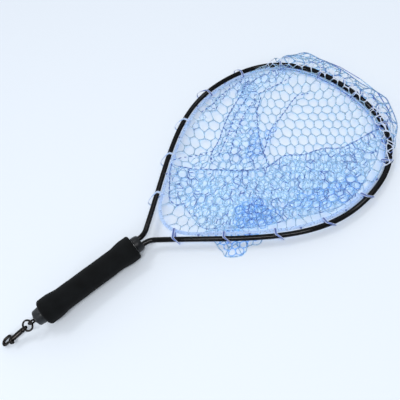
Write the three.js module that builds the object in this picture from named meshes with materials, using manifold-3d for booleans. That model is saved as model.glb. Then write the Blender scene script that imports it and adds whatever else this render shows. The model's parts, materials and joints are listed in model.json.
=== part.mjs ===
// A teardrop landing net lying on a floor: bent tube hoop, foam grip, snap hook and moulded rubber net.
// Millimetres, +Z up. The floor is z = 0 and the origin is the middle of the footprint.
// Inside the hoop's own frame, x = 0 is the front face of the collar and +x points at the hoop's tip.

import * as THREE from 'three';
import { mergeVertices } from 'three/addons/utils/BufferGeometryUtils.js';
import Module from 'manifold-3d';

const wasm = await Module();
wasm.setup();

// Hoop: one bent aluminium tube, both legs held side by side in the handle
const tubeDiameter = 8;
const tubeWall = 1;
const legSpacing = 12;
const legInsert = 62;
const neckStraight = 2;
const neckBendRadius = 24.4;
const neckSlope = THREE.MathUtils.degToRad(38.6);
const legHandle = 134;
const shoulderHandle = 94.5;
const widestAt = 283.5;
const hoopWidth = 338;
const frontHandle = 92.5;
const tipHandle = 122;
const hoopLength = 447;

// Handle: aluminium core tube, foam grip, front collar and butt cap
const coreDiameter = 23;
const coreWall = 1;
const gripLength = 158;
const gripWaist = 35.5;
const gripEnd = 39.9;
const gripFlat = 15;
const gripFlare = 34;
const gripEdge = 3;
const collarDiameter = 25.4;
const collarLength = 11.4;
const collarFace = 5;
const collarNose = 22.4;
const capDiameter = 25.6;
const capLength = 12;
const capFace = 6;
const capEdge = 2;
const pinDiameter = 3;
const pinSetback = 22;
const pinSpacing = 24;

// Eye bolt on the butt cap
const eyeInner = 6.2;
const eyeWire = 2.8;
const eyeFlangeDiameter = 12;
const eyeFlange = 1.5;
const eyeNeck = 0.6;
const shankDiameter = 4;
const nutWidth = 7;
const nutHeight = 3.2;

// Swivel snap: distances run from the hinge line at the eye towards the hook
const ringInner = 12.8;
const ringWire = 2.6;
const ringPlay = 0.4;
const bossDiameter = 6.4;
const bossLength = 4.4;
const studDiameter = 2.6;
const studHead = 5;
const studHeadHeight = 2.3;
const barrelDiameter = 7.4;
const barrelLength = 26.5;
const barrelBack = 2.5;
const boltDiameter = 3.6;
const boltTravel = 6.5;
const boltTail = 5.5;
const knobDiameter = 6.2;
const knobHeight = 2.2;
const stemDiameter = 2;
const stemSetback = 2.2;
const hookWire = 4;
const hookBight = 5.2;
const hookTip = 4;
const armRoot = 6;
const armShoulder = 4;
const springWire = 0.6;
const springTurns = 9;
const snapYaw = THREE.MathUtils.degToRad(7.8);
const ringRoll = THREE.MathUtils.degToRad(25);
const hookRoll = THREE.MathUtils.degToRad(12.5);

// Net: rim cord inside the hoop, loops that tie it to the tube, and the bag laid on the floor
const rimDiameter = 2.4;
const rimInset = 8;
const rimNeckStart = 84;
const rimNeckHandle = 41;
const rimStep = 16;
const rimNeckStep = 6;
const loopWire = 1.6;
const loopFirst = 47.5;
const loopPitch = 76.7;
const loopCount = 15;
const loopLean = 10;
const loopSlack = 2.5;
const cellPitch = 28;
const cellClear = 11.8;
const strandWidth = 3;
const netThickness = 2;
const wallRun = 45;
const flapReach = 28;
const flapStart = 178;
const flapEnd = 138;
const liftBlend = 40;

// Clearances and tilt
const gap = 0.3;
const netGap = 0.5;
const tilt = THREE.MathUtils.degToRad(1.72);

// Facets
const roundSides = 24;
const tubeSides = 10;
const wireSides = 8;
const loopSides = 5;
const fineStep = 1;
const tangentStep = 0.5;
const weld = 1e-4;

const black = { color: 0x101114, roughness: 0.35, metalness: 0.4 };
const foamBlack = { color: 0x1b1c1f, roughness: 0.9, metalness: 0 };
const greyPlastic = { color: 0x2a2f36, roughness: 0.45, metalness: 0 };
const bareMetal = { color: 0xb9bcc0, roughness: 0.4, metalness: 1 };
const darkMetal = { color: 0x1a1718, roughness: 0.3, metalness: 0.8 };
const netBlue = { color: 0xa9c4ee, roughness: 0.35, metalness: 0 };
const loopBlue = { color: 0x6f84cf, roughness: 0.35, metalness: 0 };

const tubeRadius = tubeDiameter / 2;
const rimRadius = rimDiameter / 2;
const up = new THREE.Vector3(0, 0, 1);

// Weld shared corners, drop empty triangles and turn every face outwards
function closed(geometry) {
  const bare = new THREE.BufferGeometry();
  bare.setAttribute('position', geometry.getAttribute('position').clone());
  if (geometry.index) bare.setIndex(geometry.index.clone());
  const welded = mergeVertices(bare, weld);
  const source = welded.index.array;
  const place = welded.getAttribute('position');
  const corners = [new THREE.Vector3(), new THREE.Vector3(), new THREE.Vector3()];
  const kept = [];
  let volume = 0;
  for (let i = 0; i < source.length; i += 3) {
    const [a, b, c] = [source[i], source[i + 1], source[i + 2]];
    if (a === b || b === c || c === a) continue;
    [a, b, c].forEach((index, k) => corners[k].fromBufferAttribute(place, index));
    volume += corners[0].dot(corners[1].clone().cross(corners[2]));
    kept.push(a, b, c);
  }
  if (volume < 0) kept.reverse();
  welded.setIndex(kept);
  return welded;
}

function toSolid(geometry) {
  const body = closed(geometry);
  const vertProperties = new Float32Array(body.getAttribute('position').array);
  const triVerts = new Uint32Array(body.index.array);
  return new wasm.Manifold(new wasm.Mesh({ numProp: 3, vertProperties, triVerts }));
}

function toGeometry(solid) {
  const mesh = solid.getMesh();
  const geometry = new THREE.BufferGeometry();
  geometry.setAttribute('position', new THREE.BufferAttribute(new Float32Array(mesh.vertProperties), 3));
  geometry.setIndex(Array.from(mesh.triVerts));
  return geometry;
}

const joined = (...pieces) => pieces.map(toSolid).reduce((sum, piece) => sum.add(piece));
const cut = (solid, ...tools) => tools.map(toSolid).reduce((rest, tool) => rest.subtract(tool), solid);

// Turned shape about the x axis; each profile point is [radius, x]
function turned(profile, sides = roundSides) {
  const points = profile.map(([radius, x]) => new THREE.Vector2(radius, x));
  return new THREE.LatheGeometry(points, sides).rotateZ(-Math.PI / 2);
}

// Plain rod along x from one place to another
const rod = (diameter, from, to, sides = roundSides) =>
  turned([[0, from], [diameter / 2, from], [diameter / 2, to], [0, to]], sides);

// Skin over a row of equal rings, closed end to end or capped with fans
function skin(rings, endless) {
  const count = rings[0].length;
  const positions = rings.flat().flatMap((p) => [p.x, p.y, p.z]);
  const index = [];
  const last = endless ? rings.length : rings.length - 1;
  for (let i = 0; i < last; i += 1) {
    const here = i * count;
    const next = ((i + 1) % rings.length) * count;
    for (let j = 0; j < count; j += 1) {
      const k = (j + 1) % count;
      index.push(here + j, next + j, next + k, here + j, next + k, here + k);
    }
  }
  if (!endless) {
    const end = (rings.length - 1) * count;
    for (let j = 1; j < count - 1; j += 1) {
      index.push(0, j, j + 1, end, end + j + 1, end + j);
    }
  }
  const geometry = new THREE.BufferGeometry();
  geometry.setAttribute('position', new THREE.Float32BufferAttribute(positions, 3));
  geometry.setIndex(index);
  return geometry;
}

// Round section rings along a flat path; the path's plane has the given normal
function ringsAlong(points, radius, sides, normal, endless = false) {
  const count = points.length;
  return points.map((point, i) => {
    const before = points[endless ? (i + count - 1) % count : Math.max(i - 1, 0)];
    const after = points[endless ? (i + 1) % count : Math.min(i + 1, count - 1)];
    const side = after.clone().sub(before).cross(normal).normalize();
    return Array.from({ length: sides }, (_, j) => {
      const angle = (2 * Math.PI * j) / sides;
      return point.clone()
        .addScaledVector(side, radius * Math.cos(angle))
        .addScaledVector(normal, radius * Math.sin(angle));
    });
  });
}

const smooth = (from, to, x) => THREE.MathUtils.smoothstep(x, from, to);

// The hoop's half outline, from the collar to the tip, on the +y side
function halfOutline() {
  const path = new THREE.CurvePath();
  const side = legSpacing / 2;
  const bendEnd = new THREE.Vector2(
    neckStraight + neckBendRadius * Math.sin(neckSlope),
    side + neckBendRadius * (1 - Math.cos(neckSlope)),
  );
  const along = new THREE.Vector2(Math.cos(neckSlope), Math.sin(neckSlope));
  const widest = new THREE.Vector2(widestAt, hoopWidth / 2);
  const tip = new THREE.Vector2(hoopLength, 0);
  path.add(new THREE.LineCurve(new THREE.Vector2(0, side), new THREE.Vector2(neckStraight, side)));
  path.add(new THREE.EllipseCurve(neckStraight, side + neckBendRadius, neckBendRadius, neckBendRadius,
    -Math.PI / 2, neckSlope - Math.PI / 2));
  path.add(new THREE.CubicBezierCurve(bendEnd, bendEnd.clone().addScaledVector(along, legHandle),
    new THREE.Vector2(widestAt - shoulderHandle, hoopWidth / 2), widest));
  path.add(new THREE.CubicBezierCurve(widest, new THREE.Vector2(widestAt + frontHandle, hoopWidth / 2),
    new THREE.Vector2(hoopLength, tipHandle), tip));
  return path;
}

const outline = halfOutline();
const halfLength = outline.getLength();
const tipStation = halfLength;

// A point of the hoop's centre line and its inward direction, by distance from the -y side's collar face
function hoopAt(station) {
  const lower = station <= tipStation;
  const distance = lower ? station : 2 * tipStation - station;
  const share = THREE.MathUtils.clamp(distance / halfLength, 0, 1);
  const point = outline.getPoint(share);
  const step = tangentStep / halfLength;
  const ahead = outline.getPoint(Math.min(share + step, 1));
  const behind = outline.getPoint(Math.max(share - step, 0));
  const tangent = ahead.sub(behind).normalize();
  const mirror = lower ? -1 : 1;
  return {
    point: new THREE.Vector3(point.x, mirror * point.y, 0),
    inward: new THREE.Vector3(tangent.y, -mirror * tangent.x, 0),
    along: new THREE.Vector3(tangent.x, mirror * tangent.y, 0).multiplyScalar(-mirror),
  };
}

// Stations along the hoop: close together in the neck's bends, wider on the long curves
function hoopStations() {
  const bendStep = 4;
  const bendSpan = neckStraight + neckBendRadius * neckSlope;
  const longSteps = 21;
  const half = [];
  for (let s = 0; s < bendSpan; s += bendStep) half.push(s);
  for (let i = 0; i < longSteps; i += 1) {
    half.push(bendSpan + ((halfLength - bendSpan) * i) / longSteps);
  }
  const mirrored = half.map((s) => 2 * halfLength - s).reverse();
  return [...half, tipStation, ...mirrored];
}

const root = new THREE.Group();
const frame = new THREE.Group();
frame.rotation.y = tilt;
root.add(frame);

function addPart(parent, name, geometry, look) {
  const mesh = new THREE.Mesh(geometry, new THREE.MeshStandardMaterial(look));
  mesh.name = name;
  parent.add(mesh);
  return mesh;
}

// Places along the handle, all from the collar's front face
const collarBack = -collarLength;
const gripFront = collarBack - gap;
const gripBack = gripFront - gripLength;
const capFront = gripBack - gap;
const capBack = capFront - capLength;
const coreFront = -collarFace - gap;
const coreBack = capBack + capFace + gap;
const pinPlaces = [0, 1].map((i) => gripFront - pinSetback - i * pinSpacing);

const pinHole = (x) => rod(pinDiameter + 2 * gap, -coreDiameter, coreDiameter, wireSides)
  .rotateZ(Math.PI / 2).translate(x, 0, 0);

function hoopTube() {
  const legEnd = (sign) => new THREE.Vector3(-legInsert, (sign * legSpacing) / 2, 0);
  const middle = hoopStations().map((s) => hoopAt(s).point);
  const path = [legEnd(-1), ...middle, legEnd(1)];
  const outer = ringsAlong(path, tubeRadius, tubeSides, up);
  const inner = ringsAlong(path, tubeRadius - tubeWall, tubeSides, up);
  const tube = toSolid(skin([...outer, ...inner.reverse()], true));
  return toGeometry(cut(tube, ...pinPlaces.map(pinHole)));
}

function frontCollar() {
  const radius = collarDiameter / 2;
  const cup = coreDiameter / 2 + gap;
  const profile = [
    [0, 0], [collarNose / 2, 0], [radius, -collarFace], [radius, collarBack],
    [cup, collarBack], [cup, -collarFace], [0, -collarFace],
  ];
  const legHole = (sign) => rod(tubeDiameter + 2 * gap, -collarLength, collarLength, 2 * tubeSides)
    .translate(0, (sign * legSpacing) / 2, 0);
  return toGeometry(cut(toSolid(turned(profile)), legHole(-1), legHole(1)));
}

function coreTube() {
  const outer = coreDiameter / 2;
  const inner = outer - coreWall;
  const profile = [
    [outer, coreFront], [inner, coreFront], [inner, coreBack], [outer, coreBack], [outer, coreFront],
  ];
  return toGeometry(cut(toSolid(turned(profile)), ...pinPlaces.map(pinHole)));
}

// Foam grip: a straight waist that swells smoothly into a rounded band at each end
function foamGrip() {
  const bore = coreDiameter / 2 + gap;
  const flareSteps = 5;
  const half = gripLength / 2;
  const swell = (gripEnd - gripWaist) / 2;
  const radiusAt = (fromEnd) => gripEnd / 2 - swell * smooth(gripFlat, gripFlare, fromEnd);
  const edgeSteps = 3;
  const edge = [];
  for (let i = 0; i <= edgeSteps; i += 1) {
    const angle = (Math.PI / 2) * (i / edgeSteps);
    const fromEnd = gripEdge * (1 - Math.sin(angle));
    edge.push([gripEnd / 2 - gripEdge * (1 - Math.cos(angle)), fromEnd]);
  }
  edge.reverse();
  const flare = [];
  for (let i = 0; i <= flareSteps; i += 1) {
    const fromEnd = gripFlat + ((gripFlare - gripFlat) * i) / flareSteps;
    flare.push([radiusAt(fromEnd), fromEnd]);
  }
  const end = [...edge, ...flare];
  const middle = (gripFront + gripBack) / 2;
  const front = end.map(([r, d]) => [r, middle + half - d]);
  const back = end.map(([r, d]) => [r, middle - half + d]).reverse();
  const profile = [[bore, middle + half], ...front, ...back, [bore, middle - half]];
  return closed(turned([...profile, profile[0]]));
}

function buttCap() {
  const radius = capDiameter / 2;
  const cup = coreDiameter / 2 + gap;
  const profile = [
    [0, capBack], [radius - capEdge, capBack], [radius, capBack + capEdge], [radius, capFront],
    [cup, capFront], [cup, capBack + capFace], [0, capBack + capFace],
  ];
  const shankHole = rod(shankDiameter + 2 * gap, capBack - capFace, capFront, wireSides * 2);
  return toGeometry(cut(toSolid(turned(profile)), shankHole));
}

// Eye bolt: flange on the cap, upright ring behind it, shank through the cap into a nut
const eyeMean = (eyeInner + eyeWire) / 2;
const flangeFront = capBack - gap;
const flangeBack = flangeFront - eyeFlange;
const eyeCentre = flangeBack - eyeNeck - eyeInner / 2 - eyeWire / 2;
const nutBack = capBack + capFace + gap;
const hingeAt = eyeCentre - eyeInner / 2 + ringWire / 2 + gap + ringPlay;

function eyeBolt() {
  const ring = new THREE.TorusGeometry(eyeMean, eyeWire / 2, wireSides, roundSides)
    .rotateX(Math.PI / 2).translate(eyeCentre, 0, 0);
  const flange = rod(eyeFlangeDiameter, flangeBack, flangeFront);
  const neck = rod(shankDiameter, flangeBack - eyeNeck - eyeWire / 2, flangeFront, wireSides * 2);
  const shank = rod(shankDiameter, flangeBack, nutBack + nutHeight, wireSides * 2);
  return toGeometry(joined(ring, flange, neck, shank));
}

function eyeNut() {
  const bore = shankDiameter / 2 + gap;
  const hexRadius = nutWidth / Math.sqrt(3);
  const hex = new THREE.Shape(Array.from({ length: 6 }, (_, i) =>
    new THREE.Vector2(hexRadius * Math.cos((i * Math.PI) / 3), hexRadius * Math.sin((i * Math.PI) / 3))));
  const holeRadius = bore / Math.cos(Math.PI / (2 * wireSides));
  hex.holes.push(new THREE.Path().absarc(0, 0, holeRadius, 0, 2 * Math.PI, true));
  const settings = { depth: nutHeight, bevelEnabled: false, curveSegments: wireSides * 2 };
  const nut = new THREE.ExtrudeGeometry(hex, settings);
  return closed(nut.rotateY(Math.PI / 2).translate(nutBack, 0, 0));
}

// Snap: the ring hangs in the eye, the body swivels on its stud, the bolt slides in the barrel
const ringMean = (ringInner + ringWire) / 2;
const bossCentre = 2 * ringMean;
const bossFront = bossCentre + bossLength / 2;
const bossBack = bossCentre - bossLength / 2;
const barrelStart = bossFront + gap;
const barrelEnd = barrelStart + barrelLength;
const boreStart = barrelStart + barrelBack;
const boltStart = barrelEnd - boltTail;
const hookTipAt = barrelEnd + boltTravel + gap;
const boltEnd = hookTipAt - gap;
const stemAt = barrelEnd - stemSetback;
const hookRadius = (boltDiameter + hookWire + 2 * hookBight) / 4;
const hookCentre = hookTipAt + hookTip;
const armSide = 2 * hookRadius;

function snapRing() {
  const ring = new THREE.TorusGeometry(ringMean, ringWire / 2, wireSides, roundSides)
    .translate(-ringMean, 0, 0);
  const boss = rod(bossDiameter, -bossFront, -bossBack);
  const bore = rod(studDiameter + 2 * gap, -bossFront - gap, -bossBack + gap, wireSides * 2);
  return toGeometry(cut(joined(ring, boss), bore));
}

function hookPath() {
  const flat = (x, y) => new THREE.Vector3(-x, y, 0);
  const bendSteps = 10;
  const shoulderSteps = 6;
  const path = [flat(hookTipAt, 0)];
  for (let i = 0; i <= bendSteps; i += 1) {
    const angle = -Math.PI / 2 + (Math.PI * i) / bendSteps;
    path.push(flat(hookCentre + hookRadius * Math.cos(angle), hookRadius + hookRadius * Math.sin(angle)));
  }
  const shoulder = new THREE.CubicBezierCurve3(
    flat(barrelEnd + armShoulder, armSide), flat(barrelEnd, armSide),
    flat(barrelEnd, barrelDiameter / 4), flat(barrelEnd - armRoot, barrelDiameter / 4));
  return [...path, ...shoulder.getPoints(shoulderSteps)];
}

function snapBody() {
  const stud = rod(studDiameter, -boreStart, -bossBack + gap, wireSides * 2);
  const headBack = bossBack - gap;
  const headTop = headBack - studHeadHeight;
  const head = turned([[0, -headTop], [studHead / 4, -headTop], [studHead / 2, -(headTop + headBack) / 2],
    [studHead / 2, -headBack], [0, -headBack]], wireSides * 2);
  const barrel = rod(barrelDiameter, -barrelEnd, -barrelStart);
  const hook = skin(ringsAlong(hookPath(), hookWire / 2, wireSides, up), false);
  const bore = rod(boltDiameter + 2 * gap, -barrelEnd - gap, -boreStart, wireSides * 2);
  const slotWide = stemDiameter + 2 * gap;
  const slotLong = boltTravel + slotWide;
  const slot = new THREE.BoxGeometry(slotLong, barrelDiameter, slotWide)
    .translate(-(stemAt - boltTravel / 2), -barrelDiameter / 2, 0);
  return toGeometry(cut(joined(stud, head, barrel, hook), bore, slot));
}

function snapBolt() {
  const pin = rod(boltDiameter, -boltEnd, -boltStart, wireSides * 2);
  const knobBase = barrelDiameter / 2 + 2 * gap;
  const stem = rod(stemDiameter, -knobBase - knobHeight / 2, 0, wireSides);
  const knobTop = knobBase + knobHeight;
  const knobProfile = [
    [0, -knobTop], [knobDiameter / 3, -knobTop], [knobDiameter / 2, -knobBase - knobHeight / 2],
    [knobDiameter / 2, -knobBase], [0, -knobBase],
  ];
  const knob = turned(knobProfile, wireSides * 2);
  const thumb = [stem, knob].map((piece) => piece.rotateZ(Math.PI / 2).translate(-stemAt, 0, 0));
  return toGeometry(joined(pin, ...thumb));
}

// Coil spring behind the bolt, one unbroken helix
function snapSpring() {
  const stepsPerTurn = 8;
  const radius = boltDiameter / 2 - springWire / 2;
  const from = boreStart + gap + springWire / 2;
  const to = boltStart - gap - springWire / 2;
  const steps = springTurns * stepsPerTurn;
  const pitch = (to - from) / springTurns;
  const rings = Array.from({ length: steps + 1 }, (_, i) => {
    const angle = (2 * Math.PI * i) / stepsPerTurn;
    const out = new THREE.Vector3(0, Math.cos(angle), Math.sin(angle));
    const point = out.clone().multiplyScalar(radius);
    point.x = -(from + (pitch * i) / stepsPerTurn);
    const axis = new THREE.Vector3(1, 0, 0);
    return Array.from({ length: loopSides }, (_, j) => {
      const turn = (2 * Math.PI * j) / loopSides;
      return point.clone()
        .addScaledVector(out, (springWire / 2) * Math.cos(turn))
        .addScaledVector(axis, (springWire / 2) * Math.sin(turn));
    });
  });
  return closed(skin(rings, false));
}

// A closed line inside the hoop at one inset, rounded across the neck
function insetLine(inset, step, neckStep = step) {
  const steps = Math.round((2 * (tipStation - rimNeckStart)) / step);
  const line = [];
  for (let i = 0; i <= steps; i += 1) {
    const station = rimNeckStart + (2 * (tipStation - rimNeckStart) * i) / steps;
    const { point, inward } = hoopAt(station);
    line.push({ station, place: point.addScaledVector(inward, inset) });
  }
  const first = hoopAt(rimNeckStart);
  const start = line.at(-1).place;
  const end = line[0].place;
  const handle = first.along.clone().multiplyScalar(-rimNeckHandle);
  const across = new THREE.CubicBezierCurve3(
    start, start.clone().add(new THREE.Vector3(handle.x, -handle.y, 0)), end.clone().add(handle), end);
  const neckSteps = Math.round(across.getLength() / neckStep);
  const neck = across.getSpacedPoints(neckSteps).slice(1, -1);
  neck.forEach((place) => line.push({ station: null, place }));
  return line;
}

function netRim() {
  const line = insetLine(rimInset, rimStep, rimNeckStep).map(({ place }) => place);
  return closed(skin(ringsAlong(line, rimRadius, loopSides + 1, up, true), true));
}

// One loop: a slanted ring round the tube and the rim cord beside it
const loopReach = rimRadius + netGap + loopWire / 2;
const fineRim = insetLine(rimInset, fineStep).map(({ place }) => place);

function netLoop(station) {
  const { point, along } = hoopAt(station);
  const nearest = fineRim.reduce((best, place) =>
    (place.distanceToSquared(point) < best.distanceToSquared(point) ? place : best));
  const inward = nearest.clone().sub(point);
  const distance = inward.length();
  inward.normalize();
  const big = tubeRadius + netGap + loopWire / 2;
  const meet = Math.acos((big - loopReach) / distance);
  const slope = loopLean / (2 * big);
  const rise = up.clone().addScaledVector(along, slope);
  const arcSteps = 9;
  const rimSteps = 5;
  const points = [];
  const put = (out, high) => {
    points.push(point.clone().addScaledVector(inward, out).addScaledVector(rise, high));
  };
  for (let i = 0; i <= arcSteps; i += 1) {
    const angle = meet + ((2 * Math.PI - 2 * meet) * i) / arcSteps;
    const slack = loopSlack * Math.max(0, -Math.cos(angle));
    put((big + slack) * Math.cos(angle), big * Math.sin(angle));
  }
  for (let i = 0; i <= rimSteps; i += 1) {
    const angle = -meet + (2 * meet * i) / rimSteps;
    put(distance + loopReach * Math.cos(angle), loopReach * Math.sin(angle));
  }
  const normal = inward.clone().cross(rise).normalize();
  return closed(skin(ringsAlong(points, loopWire / 2, loopSides, normal, true), true));
}

// Bag edge: inside the loops all round, lifted over the tube near the tip
const bagInset = rimInset + loopReach + loopWire / 2 + netGap;
const overTube = tubeRadius + netGap + loopWire + netGap;
const planeHeight = (x) => frame.position.z - x * Math.sin(tilt);

// How far a station counts as the tip, from 0 on the sides to 1 where the net folds over the tube
function tipShare(station) {
  if (station === null) return 0;
  const past = station - tipStation;
  const start = smooth(-flapStart - liftBlend, -flapStart, past);
  const end = 1 - smooth(flapEnd, flapEnd + liftBlend, past);
  return start * end;
}

const inFlap = (station) =>
  station !== null && station > tipStation - flapStart && station < tipStation + flapEnd;

function edgeHeight(place, station) {
  const side = planeHeight(place.x) - netThickness / 2;
  const over = planeHeight(place.x) + overTube;
  return THREE.MathUtils.lerp(side, over, tipShare(station));
}

function insideLine(line, x, y) {
  let inside = false;
  line.forEach(({ place: a }, i) => {
    const b = line[(i + 1) % line.length].place;
    const crosses = (a.y > y) !== (b.y > y);
    if (crosses && x < a.x + ((b.x - a.x) * (y - a.y)) / (b.y - a.y)) inside = !inside;
  });
  return inside;
}

function nearestOn(line, x, y) {
  let best = line[0];
  let least = Infinity;
  let order = 0;
  line.forEach((entry, i) => {
    const far = (entry.place.x - x) ** 2 + (entry.place.y - y) ** 2;
    if (far < least) [best, least, order] = [entry, far, i];
  });
  return { ...best, order, distance: Math.sqrt(least) };
}

// The outermost corners of the cells, in order round the net
function outerLoop(cells) {
  const steps = new Map();
  cells.forEach((cell) => cell.forEach((corner, k) => {
    const after = cell[(k + 1) % cell.length];
    if (steps.get(after)?.has(corner)) steps.get(after).delete(corner);
    else steps.set(corner, (steps.get(corner) ?? new Set()).add(after));
  }));
  const open = [...steps].filter(([, after]) => after.size);
  const next = new Map(open.map(([corner, after]) => [corner, [...after][0]]));
  const [start] = next.keys();
  const loop = [start];
  while (next.get(loop.at(-1)) !== start) loop.push(next.get(loop.at(-1)));
  return loop;
}

// Nearest places on the edge line for a loop of corners, evened out so that no two fall together
function evenPlaces(loop, edge) {
  const total = edge.length;
  const evenPasses = 6;
  let places = [];
  loop.forEach(({ x, y }) => {
    const found = nearestOn(edge, x, y).order;
    const before = places.at(-1) ?? found;
    places.push(found + total * Math.round((before - found) / total));
  });
  for (let pass = 0; pass < evenPasses; pass += 1) {
    places = places.map((place, i) => {
      const before = places[i - 1] ?? places.at(-1) - total;
      const after = places[i + 1] ?? places[0] + total;
      return (before + 2 * place + after) / 4;
    });
  }
  return places.map((place) => edge[((Math.round(place) % total) + total) % total]);
}

// Honeycomb cells that fill the hoop, with the outermost corners drawn out to the bag's edge
function netCells() {
  const edge = insetLine(bagInset, fineStep);
  const side = cellPitch / Math.sqrt(3);
  const corners = new Map();
  const cells = [];
  const columns = Math.ceil(hoopLength / (1.5 * side));
  const rows = Math.ceil(hoopWidth / cellPitch);
  const cornerAt = (x, y) => {
    const key = `${x.toFixed(1)},${y.toFixed(1)}`.replaceAll('-0.0', '0.0');
    if (!corners.has(key)) corners.set(key, { x, y });
    return corners.get(key);
  };
  for (let i = 0; i <= columns; i += 1) {
    for (let j = -rows; j <= rows; j += 1) {
      const x = i * 1.5 * side;
      const y = (j + (i % 2) / 2) * cellPitch;
      if (!insideLine(edge, x, y) || nearestOn(edge, x, y).distance < cellClear) continue;
      cells.push(Array.from({ length: 6 }, (_, k) => {
        const angle = (k * Math.PI) / 3;
        return cornerAt(x + side * Math.cos(angle), y + side * Math.sin(angle));
      }));
    }
  }
  const rimCorners = outerLoop(cells);
  const places = evenPlaces(rimCorners, edge);
  corners.forEach((corner) => {
    const { station, place, distance } = nearestOn(edge, corner.x, corner.y);
    corner.z = edgeHeight(place, station) * (1 - smooth(0, wallRun, distance));
  });
  rimCorners.forEach((corner, i) => {
    const { station, place } = places[i];
    Object.assign(corner, { x: place.x, y: place.y, z: edgeHeight(place, station), station });
  });
  return { cells, rimCorners };
}

// The fold over the tip: a strip above the tube and a strip from there down to the floor
function flapCells(rimCorners) {
  const row = rimCorners.filter(({ station }) => inFlap(station)).sort((a, b) => a.station - b.station);
  const clear = bagInset;
  const rows = row.map((corner) => {
    const { point, inward } = hoopAt(corner.station);
    const share = Math.sin((Math.PI * (corner.station - tipStation + flapStart)) / (flapStart + flapEnd));
    const reach = clear + (flapReach - clear) * Math.sqrt(Math.max(share, 0));
    const over = point.clone().addScaledVector(inward, -clear);
    const out = point.clone().addScaledVector(inward, -reach - clear / 2);
    return [corner, { x: over.x, y: over.y, z: corner.z }, { x: out.x, y: out.y, z: 0 }];
  });
  return rows.slice(1).flatMap((next, i) => [0, 1].map((k) =>
    [rows[i][k], rows[i][k + 1], next[k + 1], next[k]]));
}

// Solid net: each cell is a flat border round a hole, and free edges get walls
function netBag() {
  const { cells, rimCorners } = netCells();
  const flaps = flapCells(rimCorners);
  const positions = [];
  const index = [];
  const squeeze = Math.cos(tilt);
  const put = (x, y, z) => {
    positions.push(x * squeeze, y, z, x * squeeze, y, z + netThickness);
    return positions.length / 3 - 2;
  };
  const known = new Map();
  const numberOf = (corner) => {
    if (!known.has(corner)) known.set(corner, put(corner.x, corner.y, corner.z));
    return known.get(corner);
  };
  const quad = (a, b, c, d) => index.push(a, b, c, a, c, d);
  const edges = new Map();
  [...cells, ...flaps].forEach((cell) => {
    const turnsLeft = THREE.ShapeUtils.area(cell) > 0;
    const loop = turnsLeft ? cell : [...cell].reverse();
    const count = loop.length;
    const middle = ['x', 'y', 'z'].map((key) => loop.reduce((sum, corner) => sum + corner[key], 0) / count);
    const spread = loop.reduce((sum, c) => sum + Math.hypot(c.x - middle[0], c.y - middle[1]), 0) / count;
    const share = strandWidth / 2 / (spread * Math.cos(Math.PI / count));
    const outer = loop.map(numberOf);
    const inner = loop.map((corner) => put(
      THREE.MathUtils.lerp(corner.x, middle[0], share),
      THREE.MathUtils.lerp(corner.y, middle[1], share),
      THREE.MathUtils.lerp(corner.z, middle[2], share)));
    for (let i = 0; i < count; i += 1) {
      const j = (i + 1) % count;
      quad(outer[i] + 1, outer[j] + 1, inner[j] + 1, inner[i] + 1);
      quad(outer[i], inner[i], inner[j], outer[j]);
      quad(inner[i], inner[i] + 1, inner[j] + 1, inner[j]);
      const back = `${outer[j]},${outer[i]}`;
      if (edges.has(back)) edges.delete(back);
      else edges.set(`${outer[i]},${outer[j]}`, [outer[i], outer[j]]);
    }
  });
  edges.forEach(([a, b]) => quad(a, b, b + 1, a + 1));
  const geometry = new THREE.BufferGeometry();
  geometry.setAttribute('position', new THREE.Float32BufferAttribute(positions, 3));
  geometry.setIndex(index);
  return closed(geometry);
}

// Assembly: the handle first, so that its grip sets the height above the floor
const grip = addPart(frame, 'foam_grip', foamGrip(), foamBlack);
root.updateMatrixWorld(true);
frame.position.z = -new THREE.Box3().setFromObject(grip, true).min.z;

addPart(frame, 'hoop_tube', hoopTube(), black);
addPart(frame, 'front_collar', frontCollar(), greyPlastic);
addPart(frame, 'handle_core_tube', coreTube(), bareMetal);
pinPlaces.forEach((x, i) => {
  const pin = rod(pinDiameter, -coreDiameter / 2, coreDiameter / 2, wireSides).rotateZ(Math.PI / 2);
  addPart(frame, `hoop_pin_${i + 1}`, closed(pin.translate(x, 0, 0)), bareMetal);
});
addPart(frame, 'butt_cap', buttCap(), greyPlastic);
addPart(frame, 'eye_bolt', eyeBolt(), darkMetal);
addPart(frame, 'eye_nut', eyeNut(), bareMetal);

// The slope at which the rolled hook's lowest point just clears the floor
function restDroop() {
  const room = planeHeight(hingeAt) - hookWire / 2 - gap;
  const depth = (angle) => {
    const lean = Math.sin(hookRoll) * Math.cos(angle);
    return hookCentre * Math.sin(angle) + hookRadius * (lean + Math.hypot(lean, Math.sin(angle)));
  };
  const halvings = 30;
  let angle = Math.PI / 4;
  for (let i = 2; i < halvings; i += 1) {
    angle += (Math.sign(room - depth(angle)) * Math.PI) / 4 / 2 ** (i - 1);
  }
  return angle;
}

// The snap droops from the eye until its hook lies on the floor.
// The ring and the hook lie rolled opposite ways.
const snap = new THREE.Group();
snap.position.x = hingeAt;
snap.rotation.set(0, -restDroop() - tilt, -snapYaw, 'ZYX');
frame.add(snap);
addPart(snap, 'snap_ring', snapRing().rotateX(ringRoll), darkMetal);
addPart(snap, 'snap_body', snapBody().rotateX(-hookRoll), darkMetal);
addPart(snap, 'snap_bolt', snapBolt().rotateX(-hookRoll), darkMetal);
addPart(snap, 'snap_spring', snapSpring().rotateX(-hookRoll), bareMetal);

addPart(frame, 'net_rim', netRim(), netBlue);
for (let i = 0; i < loopCount; i += 1) {
  const name = `net_loop_${String(i + 1).padStart(2, '0')}`;
  addPart(frame, name, netLoop(loopFirst + i * loopPitch), loopBlue);
}
addPart(root, 'net_bag', netBag(), netBlue);

// Put the origin under the middle of the whole object
root.updateMatrixWorld(true);
const footprint = new THREE.Box3().setFromObject(root, true).getCenter(new THREE.Vector3());
root.position.set(-footprint.x, -footprint.y, 0);

export default root;
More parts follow.
